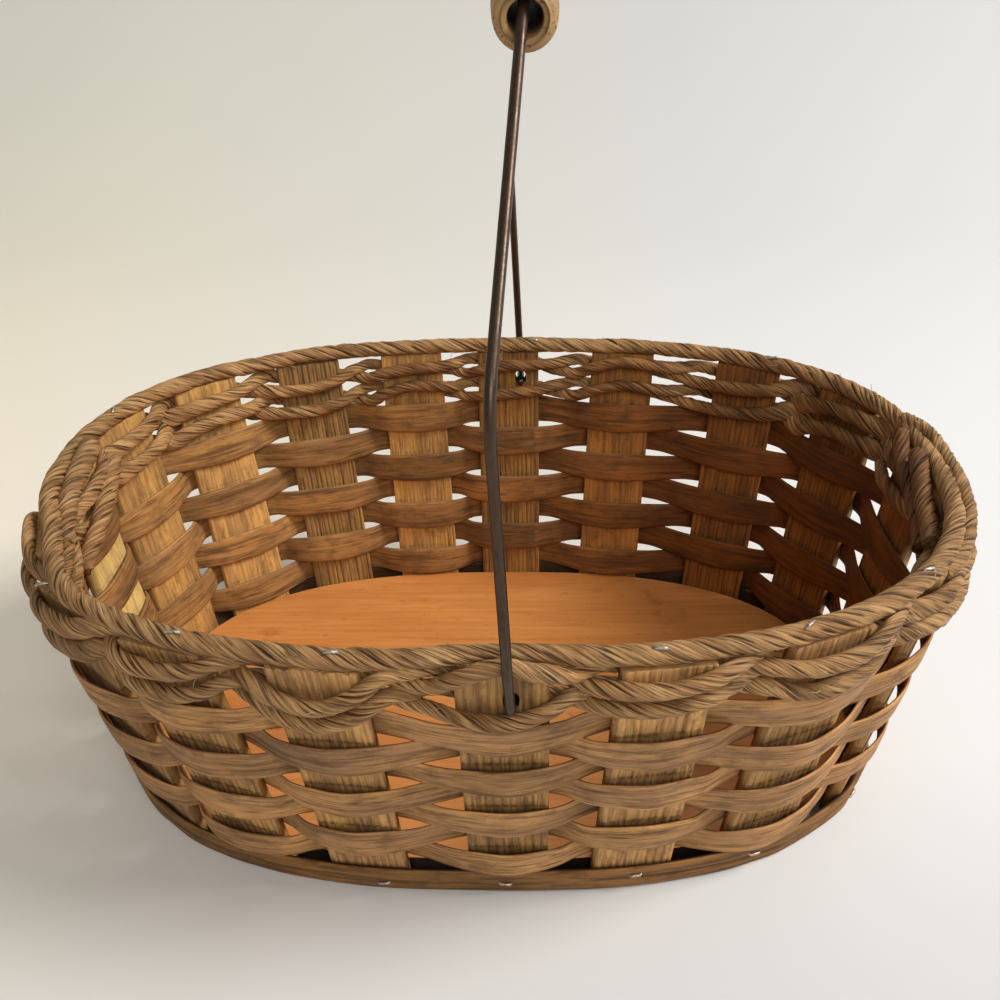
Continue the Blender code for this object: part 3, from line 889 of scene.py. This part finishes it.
def saw_marks(seed, strength, spacing, width):
    """Depth of the saw marks across a slat, 0 to 1, as a function of x."""
    marks = []
    x = -STAKE_WIDTH / 2 + 0.0010
    step = 0
    while x < STAKE_WIDTH / 2 - 0.0008:
        jitter = noise_at(step * 1.7, seed * 3.1, 0.4)
        marks.append((x, strength * (0.72 + 0.6 * jitter)))
        x += spacing * (1.0 + 0.45 * jitter)
        step += 1

    def depth(x):
        return min(1.0, max(max(0.0, power * (1 - abs(x - place) / width)) for place, power in marks))

    return depth


def dirt_and_shadow_at(index, height, outside):
    """Dirt and painted shadow on a slat just above and below the splints that cover it."""
    found = 0.0
    for row in range(WEAVER_ROWS):
        if ((index + row) % 2 == 0) != outside:
            continue
        bottom, top = splint_edges(index, row)
        if height > top - 0.0005:
            found = max(found, math.exp(-(height - top) / 0.0009))
        elif height < bottom + 0.0005:
            found = max(found, 0.45 * math.exp(-(bottom - height) / 0.0010))
    return min(1.0, found) * (1.0 if outside else 0.45)


def slat_levels(index):
    levels = [0.0009, 0.004, 0.008, 0.012]
    for row in range(WEAVER_ROWS):
        bottom, top = splint_edges(index, row)
        levels += [bottom + 0.0002, bottom + 0.005, bottom + 0.010]
        levels += [top + 0.0002, top + 0.0010, top + 0.0022, top + 0.0046]
    levels += [0.120, 0.124, 0.128, 0.132]
    return sorted({round(level, 5) for level in levels if level < 0.1335})


def slat_outline(index, strength):
    """Points round a slat: places along and out of it, the face they are on, and the saw mark's depth."""
    half, thick = STAKE_WIDTH / 2, STAKE_THICKNESS / 2
    outline = []
    for face in (1, -1):
        marks = (0.75, 0.0027, 0.00095) if face > 0 else (strength, 0.0023, 0.00055)
        depth_at = saw_marks(index * 2 + face, *marks)
        for k in range(SLAT_STEPS + 1):
            x = (-half + SLAT_CORNER) + (2 * half - 2 * SLAT_CORNER) * k / SLAT_STEPS
            groove = depth_at(x)
            swell = 0.00012 * wave(index + 40 + face, x, 0.004)
            outline.append((x * face, face * (thick - MARK_DEPTH * groove + swell), face, groove))
        outline.append((face * (half - 0.0002), face * (thick - SLAT_CORNER * 0.5), face, 0.0))
        outline.append((face * half, face * (thick - SLAT_CORNER * 1.8), face * 0.4, 0.0))
    return outline


def add_slat(stake):
    """A slat with saw marks down both faces, and slightly uneven at its top."""
    index = stake.index
    inner_shade, strength = SLAT_LOOKS.get(stake.name, (1.0, 0.75))
    # The front of the left end is painted darker, as shade
    outer_shade = (0.95 + 0.16 * math.sin(index * 2.4)) * (1.0 - 0.25 * front_left_shade(stake.head))
    # Painted shade inside, deeper towards the right
    age = age_at(stake.head)
    outline = slat_outline(index, strength)
    ragged = RAGGED_TOPS.get(stake.name, RAGGED_TOP)
    top = WALL_HEIGHT - 0.0003 - 0.0006 * (0.5 + 0.5 * wave(index + 3, 0.37, 1.0))
    levels = [0.0002] + slat_levels(index) + [top - 0.0004, top]
    rings = []
    values = {}
    for level in levels:
        at_end = level in (levels[0], top)
        ring = []
        for x, y, face, groove in outline:
            wide = (0.985 if at_end else 1.0) * (1 + 0.006 * wave(index + 60, level, 0.03))
            rough = ragged * wave(index + 70, x, 0.0012) if level == top else 0.0
            start = stake.foot + stake.across * (x * wide) + stake.normal * (y * (0.96 if at_end else 1.0))
            ring.append(start + stake.up * ((level + rough - start.z) / stake.up.z) + stake.lean(level))
            # Marked with dirt and painted shadow beside the splints
            # Saw marks are darkened as painted shade
            note(
                values, side=face, batch=index * 0.71, shade=inner_shade if face < 0 else outer_shade,
                groove=groove * 0.85, stain=dirt_and_shadow_at(index, level, face > 0), age=age)
        rings.append(ring)
    across = [x + (0.1 if face < 0 else 0.0) + index * 0.05 for x, _, face, _ in outline]
    across.append(across[0])
    along = [level + index * 0.31 for level in levels]
    material = PALE_WOOD if stake.name == PALE_SLAT else STAKE_WOOD
    item = lofted(f"{stake.name}_slat", rings, False, across, along, material, values)
    if stake.name.startswith("handle"):
        bore_slat(item, stake)
    dress(item, "basket", "stake_wood", stake.name)


def bore_slat(item, stake):
    """The hole for the bail's end, worn upwards by the wire."""
    bm = bmesh.new()
    bmesh.ops.create_cone(
        bm, cap_ends=True, segments=32, radius1=WIRE_HOLE_RADIUS, radius2=WIRE_HOLE_RADIUS, depth=0.05)
    mesh = bpy.data.meshes.new("hole_cutter")
    bm.to_mesh(mesh)
    bm.free()
    cutter = new_object("hole_cutter", mesh)
    height = WIRE_HOLE_HEIGHT + 0.0009
    cutter.location = (HINGE.x, stake.point(0.0, 0.0, height).y, height)
    cutter.rotation_euler = (math.radians(90), 0, 0)
    cutter.scale = (1.0, 1.34, 1.0)
    hole = item.modifiers.new("hole", "BOOLEAN")
    hole.operation = "DIFFERENCE"
    hole.solver = "EXACT"
    hole.object = cutter
    bpy.context.view_layer.update()
    depsgraph = bpy.context.evaluated_depsgraph_get()
    cut = bpy.data.meshes.new_from_object(
        item.evaluated_get(depsgraph), preserve_all_data_layers=True, depsgraph=depsgraph)
    item.modifiers.clear()
    item.data = cut
    bpy.data.objects.remove(cutter)


for each in STAKES:
    add_slat(each)


# Cords


def creases_at(seed, along):
    """The creases at a place along a cord: where each lies round it, its strength and its width."""
    found = []
    for number, (place, strength) in enumerate(CREASES):
        drift = place + 0.05 * wave(seed + number * 5, along, 0.03)
        fade = smooth_step(-0.22, 0.26, wave(seed + number * 9 + 2, along, 0.009))
        found.append((drift, strength * fade, 0.021 + 0.016 * fade))
    return found


def lump_at(seed, angle, share, along):
    """How far a cord's skin stands out, by its angle in space and its share of the turn in the cord."""
    twisted = math.tau * share
    lump = 0.06 * noise_at(math.cos(angle), math.sin(angle), along / 0.009 + seed * 5.1)
    lump += 0.13 * noise_at(math.cos(twisted) * 1.6, math.sin(twisted) * 1.6, along / 0.014 + seed)
    return lump + 0.03 * noise_at(share * 17, along / 0.009, seed * 3.3)


def cord_shade(seed, along, point):
    """How light a cord is: uneven along it, and darker to the right, in front and at the front left."""
    shade = 1.0 + 0.26 * wave(seed + 17, along, 0.05) + 0.14 * wave(seed + 27, along, 0.012)
    shade *= 1.0 - 0.14 * smooth_step(0.09, 0.16, point.x) - 0.12 * smooth_step(0.02, 0.08, -point.y)
    # Painted shade at the front left, most on the lower cords
    return shade * (1.0 - 0.30 * front_left_shade(point) * (1.0 - 0.6 * smooth_step(0.122, 0.137, point.z)))


def cord_age(point):
    """How deep a cord's painted shade is: only inside the wall, and not at the left or the front."""
    inside = 1.0 - outside_share(point)
    return inside * smooth_step(-0.15, -0.01, point.x) * smooth_step(-0.09, -0.02, point.y)


def cord(name, controls, section, closed, seed, nodes=(), pitch=TWINE_PITCH, tone=1.0):
    """A twisted rush cord: the mesh turns with its twist, and creases run along it.

    section gives the half-thickness level and upright, at a place along the cord.
    """
    path, total = resample(catmull(controls, 5, closed), CORD_STEP, closed)
    count = len(path)
    turns = max(1, round(total / pitch))
    rings = []
    values = {}
    for i, point in enumerate(path):
        tangent = tangent_at(path, i, closed)
        side = tangent.cross(UP).normalized()
        up = side.cross(tangent)
        along = total * i / count
        level, upright = section(along / total, point)
        shade = tone * cord_shade(seed, along, point)
        age = cord_age(point)
        creases = creases_at(seed, along)
        ring = []
        for j in range(CORD_SIDES):
            share = j / CORD_SIDES
            angle = math.tau * (share - turns * i / count)
            depth = 0.0
            for place, strength, width in creases:
                gap = abs((share - place + 0.5) % 1.0 - 0.5)
                depth = max(depth, strength * (1.0 - gap / width))
            reach = 1.03 + lump_at(seed, angle, share, along) - 0.20 * depth
            level_reach, upright_reach = math.cos(angle) * level * reach, math.sin(angle) * upright * reach
            ring.append(point + side * level_reach + up * upright_reach)
            note(values, groove=depth, batch=seed * 0.43, shade=shade, age=age)
        rings.append(ring)
    across_values = [j / CORD_SIDES for j in range(CORD_SIDES + 1)]
    along_values = [total * i / count for i in range(count + 1)]
    item = lofted(name, rings, closed, across_values, along_values, RUSH, values)
    dress(item, "basket", "rush_cord", *nodes)


def twine_strand(name, level, gap_front, outside, inside, seed, phase, letter):
    """One strand of a twined pair, drawn up under the rim cord in the gaps at the front."""
    seed += phase
    sides = [1 if (i + phase) % 2 == 0 else -1 for i in range(len(STAKES))]
    offset = STAKE_FACE + CORD_RADIUS

    def level_at(i):
        if sides[i] > 0:
            usual = level - 0.0026 + 0.0062 * STAKES[i].end_share
            return outside.get(i, usual + 0.0008 * wave(seed, i * 2.3, 1.7))
        return inside.get(i, level + 0.0006 * wave(seed, i * 2.3, 1.7))

    def gap_level(i):
        place = (STAKES[i].head + STAKES[(i + 1) % len(STAKES)].head) / 2
        front = smooth_step(0.10, -0.06, place.y) * (1.0 - 0.6 * smooth_step(0.12, 0.17, abs(place.x)))
        return level + (gap_front - level) * front + 0.0006 * wave(seed + 4, i * 1.3, 1.1)

    def out_at(i):
        if sides[i] < 0:
            return offset + 0.0005, offset
        if name == "upper" and i in HUGGED:
            return HUGGED[i], HUGGED[i]
        if outside.get(i, 0.0) > WALL_HEIGHT:
            # Drawn up over the slat's outer edge, beside the rim cord and behind the wire
            return 0.0030, 0.0042
        slack = LOOSE.get(i, (0.0016 if STAKES[i].head.x > 0 else 0.0004) * STAKES[i].end_share)
        return offset + 0.0015 + slack, offset + slack * 0.8

    def section(share, point):
        ends = smooth_step(0.085, 0.168, abs(point.x)) * (0.45 + 0.55 * outside_share(point))
        crushed = smooth_step(0.168, 0.182, -point.x)
        drawn_up = smooth_step(0.1365, 0.1400, point.z)
        radius = CORD_RADIUS * (1 + 0.12 * wave(seed, share, 0.02))
        return radius * (1 - 0.10 * ends), radius * (1.03 + 0.66 * ends + 0.34 * crushed + 0.16 * drawn_up)

    controls = woven_controls(sides, level_at, gap_level, out_at, 0.0012, CORD_RADIUS)
    nodes = (f"{name}_twine_{letter}",)
    cord(f"{name}_twine_strand_{letter}", controls, section, True, seed, nodes, tone=TWINE_TONE)


def rim_cord():
    """The thicker cord along the tops, drawn in where its ends overlap and over the front handle slat."""
    controls = []
    count = 120
    for i in range(count):
        angle = math.tau * (i + 0.5) / count
        point = oval_point(RIM, angle, RIM_CORD_HEIGHT)
        overlap = math.exp(-((math.degrees(angle) - OVERLAP_ANGLE) / OVERLAP_SPREAD) ** 2)
        drawn_in = OVERLAP_INSET * overlap + HANDLE_INSET * by_front_handle(point)
        inset = RIM_CORD_INSET + 0.0006 * wave(31, i, 5.0) + drawn_in
        point = oval_point(RIM, angle, RIM_CORD_HEIGHT, inset)
        point.z += 0.0007 * wave(32, i, 4.0) + 0.0012 * by_front_handle(point)
        controls.append(point)

    def section(share, point):
        radius = RIM_CORD_RADIUS * (1 + 0.08 * wave(33, share, 0.02)) * (1 - 0.22 * by_front_handle(point))
        return radius, radius * (0.97 + 0.12 * end_share(point))

    cord("rim_cord_twist", controls, section, True, 35, ("rim_cord",), RIM_PITCH)


def cord_tail(name, seed, radius, places):
    """A cord's cut end, inside or beside the wall."""
    controls = [
        oval_point(oval_at(height), math.radians(degrees), height, inset) for degrees, inset, height in places
    ]

    def section(share, point):
        """Thicker towards the cut end."""
        return radius * (1.0 + 0.12 * (1 - share)), radius * (1.15 + 0.2 * (1 - share))

    cord(name, controls, section, False, seed, pitch=TAIL_PITCH)


for phase, letter in enumerate("ab"):
    for twine in TWINES:
        twine_strand(*twine, phase, letter)
rim_cord()
for tail in CORD_TAILS:
    cord_tail(*tail)


# Bottom board


def board_material():
    n = Nodes("board_wood")
    place = n.object_place()
    broad = n.noise(place, (7, 60, 1), 3.0, 0.5, 0.6)
    grain = n.noise(place, (16, 400, 1), 5.0, 0.6, 0.3)
    cloud = n.noise(place, (14, 22, 1), 3.0, 0.55, 0.0, (0.3, 0.9, 0))
    stain = n.noise(place, (24, 34, 1), 5.0, 0.65, 0.0, (1.3, 2.1, 0))
    specks = n.noise(place, (160, 240, 1), 3.0, 0.6)
    colour = n.mix(n.ramp(broad, 0.35, 0.65), (0.670, 0.240, 0.055), (0.760, 0.308, 0.080))
    colour = n.over(colour, (0.450, 0.150, 0.032), grain, 0.46, 0.70, 0.50)
    colour = n.over(colour, (0.500, 0.175, 0.040), cloud, 0.48, 0.74, 0.60)
    colour = n.over(colour, (0.240, 0.078, 0.020), stain, 0.60, 0.72, 0.60)
    colour = n.over(colour, (0.220, 0.075, 0.020), specks, 0.62, 0.72, 0.35)
    up = n.add("SeparateXYZ", {"Vector": n.add("NewGeometry").outputs["Normal"]})
    below = n.mix(n.ramp(grain, 0.40, 0.66), (0.300, 0.165, 0.070), (0.175, 0.090, 0.036))
    # The board's edge is painted near black, as shade; its underside keeps a plainer brown
    below = n.mix(n.ramp(up.outputs["Z"], -0.6, -0.2), below, (0.022, 0.010, 0.005))
    colour = n.mix(n.ramp(up.outputs["Z"], 0.2, 0.6), below, colour)
    normal = n.bump(grain, 0.3, 0.0003)
    rough = n.ramp(cloud, 0.3, 0.7, 0.36, 0.52)
    return n.finish(colour, rough, normal, specular=0.45)


board = frame["nodes"]["base_board"]
board.data.materials.clear()
board.data.materials.append(board_material())


# Bail and grip


def rounded_route(corners, radii):
    """A route through corners, each rounded to its radius."""
    route = [corners[0]]
    for i, radius in enumerate(radii):
        before, corner, after = corners[i], corners[i + 1], corners[i + 2]
        arriving = (corner - before).normalized()
        leaving = (after - corner).normalized()
        turn = arriving.angle(leaving)
        inward = (leaving - arriving).normalized()
        centre = corner + inward * (radius / math.cos(turn / 2))
        start = corner - arriving * (radius * math.tan(turn / 2))
        axis = arriving.cross(leaving).normalized()
        steps = 12
        for step in range(steps + 1):
            turned = Matrix.Rotation(turn * step / steps, 3, axis)
            route.append(centre + turned @ (start - centre))
    route.append(corners[-1])
    return route


def wire_material():
    n = Nodes("steel_wire")
    place = n.object_place()
    cloud = n.noise(place, (60, 60, 40), 5.0, 0.65)
    fine = n.noise(place, (900, 900, 260), 3.0, 0.6)
    colour = n.mix(n.ramp(cloud, 0.42, 0.62), (0.088, 0.060, 0.042), (0.060, 0.031, 0.016))
    colour = n.over(colour, (0.030, 0.023, 0.019), fine, 0.5, 0.7, 0.5)
    rough = n.ramp(cloud, 0.35, 0.65, 0.30, 0.50)
    metal = n.ramp(cloud, 0.45, 0.66, 0.9, 0.5)
    return n.finish(colour, rough, n.bump(fine, 0.3, 0.0002), metal, 0.5)


def add_wire():
    """The bail's wire, bent inwards at its foot, out at its shoulder and inwards in the grip."""
    grip_bend_y = GRIP_LENGTH / 2 - GRIP_BEND_INSET
    front = [
        Vector((0.0, -WIRE_END_Y, 0.0)),
        Vector((0.0, -FOOT_Y, 0.0)),
        Vector((-0.0012, -LEG_Y, 0.019)),
        Vector((-SHOULDER_SHIFT, -LEG_Y, LEG_HEIGHT)),
        Vector((0.0, -grip_bend_y, GRIP_RISE)),
    ]
    back = [Vector((point.x, -point.y, point.z)) for point in reversed(front)]
    radii = [0.0038, 0.020, 0.030, 0.007]
    route, total = resample(rounded_route(front + back, radii + radii[::-1]), 0.0022, False)
    lean = Matrix.Rotation(BAIL_LEAN, 3, "Y")
    path = [HINGE + lean @ point for point in route]

    def radius_at(i):
        shrink = 0.86 if i in (0, len(path) - 1) else 1.0
        return WIRE_RADIUS * shrink * (1 + 0.02 * wave(51, i, 4.0))

    around = 20
    rings = tube_rings(path, radius_at, around, Vector((1, 0, 0)))
    across = [j / around for j in range(around + 1)]
    along = [total * i / len(path) for i in range(len(path) + 1)]
    item = lofted("bail_steel", rings, False, across, along, wire_material())
    dress(item, "bail", "steel_wire", "bail_wire")


def grip_material():
    n = Nodes("grip_wood")
    uv = n.uv()
    grain = n.noise(uv, (150, 26, 1), 4.0, 0.6, 0.4)
    cloud = n.noise(uv, (12, 20, 1), 3.0)
    place = n.object_place()
    pits = n.noise(place, (1150, 420, 1150), 3.0, 0.6)
    patch = n.noise(place, (150, 60, 150), 3.0)
    pits = n.math("MULTIPLY", n.ramp(pits, 0.58, 0.66), n.ramp(patch, 0.40, 0.56))
    colour = n.mix(n.ramp(cloud, 0.35, 0.68), (0.300, 0.168, 0.063), (0.480, 0.296, 0.126))
    colour = n.over(colour, (0.120, 0.060, 0.021), grain, 0.48, 0.70, 0.60)
    # The pits are darkened: painted shade
    colour = n.mix(n.math("MULTIPLY", pits, 0.85), colour, (0.040, 0.019, 0.007))
    normal = n.bump(grain, 0.4, 0.0003)
    normal = n.bump(pits, 0.8, -0.0005, normal)
    rough = n.ramp(cloud, 0.3, 0.7, 0.5, 0.68)
    return n.finish(colour, rough, normal)


def add_grip():
    """The turned grip, a little fuller in the middle, with rounded ends and a bore."""
    half = GRIP_LENGTH / 2
    end, middle, bore = GRIP_END_RADIUS, GRIP_MIDDLE_RADIUS, GRIP_WORN_RADIUS
    rounding = 0.0026
    profile = [(bore, -half + 0.0007), (bore + 0.0005, -half + 0.0001), (end * 0.75, -half)]
    for k in range(5):
        turn = math.pi / 2 * k / 4
        profile.append((end - rounding * (1 - math.sin(turn)), -half + rounding * (1 - math.cos(turn))))
    for k in range(1, 20):
        share = 2 * k / 20 - 1
        profile.append((middle - (middle - end) * share ** 2, (half - rounding) * share))
    profile += [(radius, -place) for radius, place in reversed(profile[:8])]
    profile += [(bore, half * (1 - 2 * k / 10)) for k in range(1, 10)]
    axis_place = HINGE + Matrix.Rotation(BAIL_LEAN, 3, "Y") @ Vector((0, 0, GRIP_RISE - GRIP_DROP))
    skew = Matrix.Rotation(GRIP_SKEW, 3, "Z")
    around = 64
    rings = []
    for j in range(around):
        angle = math.tau * j / around
        across, upwards = math.cos(angle), math.sin(angle)
        ring = []
        for radius, place in profile:
            if radius > bore + 0.001:
                radius *= 1 + 0.010 * noise_at(across * 2, place * 60, upwards * 2)
            ring.append(axis_place + skew @ Vector((across * radius, place, upwards * radius)))
        rings.append(ring)
    lengths = lengths_along([Vector(place) for place in profile + profile[:1]])
    along = [0.07 * j / around for j in range(around + 1)]
    item = lofted("turned_grip", rings, True, lengths, along, grip_material())
    dress(item, "grip", "grip_wood", "grip")


add_wire()
add_grip()


# Staples and loose fibres


def surface_tree():
    """Everything on the basket, for finding its surface."""
    vertices = []
    faces = []
    for item in bpy.context.scene.objects:
        if item.type != "MESH" or item.name.startswith(("bail", "turned")) or item.hide_render:
            continue
        start = len(vertices)
        vertices += [item.matrix_world @ vertex.co for vertex in item.data.vertices]
        faces += [[start + k for k in polygon.vertices] for polygon in item.data.polygons]
    return BVHTree.FromPolygons(vertices, faces)


def staple_rings(place, normal, along, turn):
    """A staple: a flat crown with both legs going into the surface."""
    along = (along - normal * along.dot(normal)).normalized()
    along = Matrix.Rotation(math.radians(turn), 3, normal) @ along
    half, rise, deep = 0.0023, 0.0006, 0.0022
    path = [
        place - along * half - normal * deep,
        place - along * half + normal * (rise * 0.4),
        place - along * (half * 0.8) + normal * rise,
        place + along * (half * 0.8) + normal * rise,
        place + along * half + normal * (rise * 0.4),
        place + along * half - normal * deep,
    ]
    return thin_rings(path, 0.00062, 8)


def staple_material():
    n = Nodes("staple_steel")
    worn = n.noise(n.object_place(), (700, 700, 700), 3.0, 0.6)
    colour = n.mix(n.ramp(worn, 0.45, 0.65), (0.56, 0.52, 0.46), (0.26, 0.17, 0.11))
    return n.finish(colour, n.ramp(worn, 0.3, 0.7, 0.25, 0.5), None, 0.9, 0.5)


def add_staples(tree):
    """Staples on the rim, looked for from above, and on the band, looked for from outside."""
    casts = []
    for degrees, turn in RIM_STAPLES:
        angle = math.radians(degrees)
        tangent = oval_tangent(RIM, angle)
        start = oval_point(RIM, angle, 0.17, RIM_CORD_INSET)
        start += outward(tangent) * (0.0012 if degrees > 180 else -0.0012)
        casts.append((start, -UP, tangent, turn))
    for degrees, height, turn in BAND_STAPLES:
        angle = math.radians(degrees)
        tangent = oval_tangent(FOOT, angle)
        start = oval_point(FOOT, angle, height) + outward(tangent) * 0.03
        casts.append((start, -outward(tangent), tangent, turn))
    tubes = []
    for start, direction, tangent, turn in casts:
        place, normal, _, _ = tree.ray_cast(start, direction)
        if place:
            tubes.append(staple_rings(place, normal, tangent, turn))
    joined_tubes("staples", tubes, staple_material(), "steel_wire")


def fibre_material():
    n = Nodes("loose_fibre")
    tone = n.noise(n.object_place(), (90, 90, 90), 2.0)
    colour = n.mix(n.ramp(tone, 0.35, 0.65), (0.300, 0.165, 0.070), (0.580, 0.390, 0.200))
    return n.finish(colour, n.ramp(tone, 0.3, 0.7, 0.55, 0.7))


def spread(number, step):
    """An even scatter from 0 to 1."""
    return (number * step) % 1.0


def add_fibres(tree):
    """Short fibres that stand off the cords, near the rim."""
    tubes = []
    for k in range(FIBRES):
        angle = math.tau * spread(k, 0.61803)
        height = 0.112 + 0.034 * spread(k, 0.38197)
        tangent = oval_tangent(RIM, angle)
        out = outward(tangent)
        outside = 1 if k % 3 else -1
        start = oval_point(RIM, angle, height) + out * (0.022 * outside)
        place, normal, _, _ = tree.ray_cast(start, out * -outside, 0.04)
        if not place or (outside > 0 and abs(place.x) > 0.12):
            continue
        spin = math.sin(k * 12.9) * 1.4
        lean = (tangent * math.cos(spin) + UP * math.sin(spin) * 0.8).normalized()
        length = 0.003 + 0.0035 * spread(k, 0.754877)
        path = [
            place + lean * (length * t) + normal * (0.0016 * math.sin(t * 2.6) - 0.0003)
            for t in (0, 0.3, 0.6, 0.85, 1.0)
        ]
        tubes.append(thin_rings(path, 0.00011 + 0.00007 * spread(k, 0.3), 5))
    joined_tubes("loose_fibres", tubes, fibre_material(), "rush_cord")


surface = surface_tree()
add_staples(surface)
add_fibres(surface)


# Camera, floor and light


def add_camera():
    """The camera of the photo, with its focal length given in the photo's pixels."""
    data = bpy.data.cameras.new("camera")
    data.sensor_width = 36.0
    data.lens = FOCAL_PIXELS / PHOTO_PIXELS * data.sensor_width
    data.clip_start = 0.01
    camera = new_object("camera", data)
    place = Matrix((CAMERA_RIGHT, CAMERA_UP, -CAMERA_AHEAD)).transposed().to_4x4()
    place.translation = CAMERA_PLACE
    camera.matrix_world = place
    bpy.context.scene.camera = camera


def floor_material():
    """Pale paper with painted light and shade: warmer and lighter to the left, a painted shadow in front."""
    n = Nodes("floor_paper")
    place = n.add("SeparateXYZ", {"Vector": n.object_place()})
    # Painted light and shade: lighter and warmer to the left, greyer to the right
    share = n.ramp(place.outputs["X"], -0.45, 0.20)
    colour = n.mix(share, (0.950, 0.860, 0.700), (0.770, 0.772, 0.775))
    # A painted shadow on the floor in front of the basket, most to the right
    near = n.math("MULTIPLY", n.ramp(place.outputs["Y"], -0.17, -0.03, 1.0, 0.0), share)
    colour = n.mix(near, colour, (0.650, 0.655, 0.670))
    # Painted shade, greyer further back and up the backdrop
    far = n.ramp(place.outputs["Y"], 0.15, 1.25)
    colour = n.mix(far, colour, n.mix(share, (0.690, 0.690, 0.620), (0.610, 0.605, 0.590)))
    return n.finish(colour, 0.9, specular=0.05)


def add_stage():
    """A pale sheet that curves up behind the basket."""
    start, radius, steps = 0.7, 0.6, 12
    points = [(-2.5, 0.0), (start, 0.0)]
    for k in range(1, steps + 1):
        turn = math.pi / 2 * k / steps
        points.append((start + radius * math.sin(turn), radius - radius * math.cos(turn)))
    points.append((start + radius, 3.0))
    vertices = [(x, y, z) for y, z in points for x in (-3.0, 3.5)]
    faces = [(2 * i, 2 * i + 1, 2 * i + 3, 2 * i + 2) for i in range(len(points) - 1)]
    new_object("pale_floor", new_mesh("pale_floor", vertices, faces, floor_material()))


def add_lamp(name, place, target, size, power):
    """A round, slightly warm lamp that faces its target."""
    data = bpy.data.lights.new(name, "AREA")
    data.shape = "DISK"
    data.size = size
    data.energy = power
    data.color = (1.0, 0.985, 0.96)
    lamp = new_object(name, data)
    lamp.location = place
    lamp.rotation_euler = (Vector(target) - Vector(place)).to_track_quat("-Z", "Y").to_euler()


def add_world():
    world = bpy.data.worlds.new("room")
    world.use_nodes = True
    background = world.node_tree.nodes["Background"]
    background.inputs["Color"].default_value = (1.0, 0.99, 0.97, 1.0)
    background.inputs["Strength"].default_value = 0.30
    bpy.context.scene.world = world


add_camera()
add_stage()
add_world()
add_lamp("key", (2.05, -0.10, 2.05), (0.0, 0.0, 0.05), 1.1, 66.0)
add_lamp("front", (0.75, -2.2, 1.9), (-0.05, 0.1, 0.1), 1.6, 28.0)

bpy.context.scene.view_settings.view_transform = "Standard"
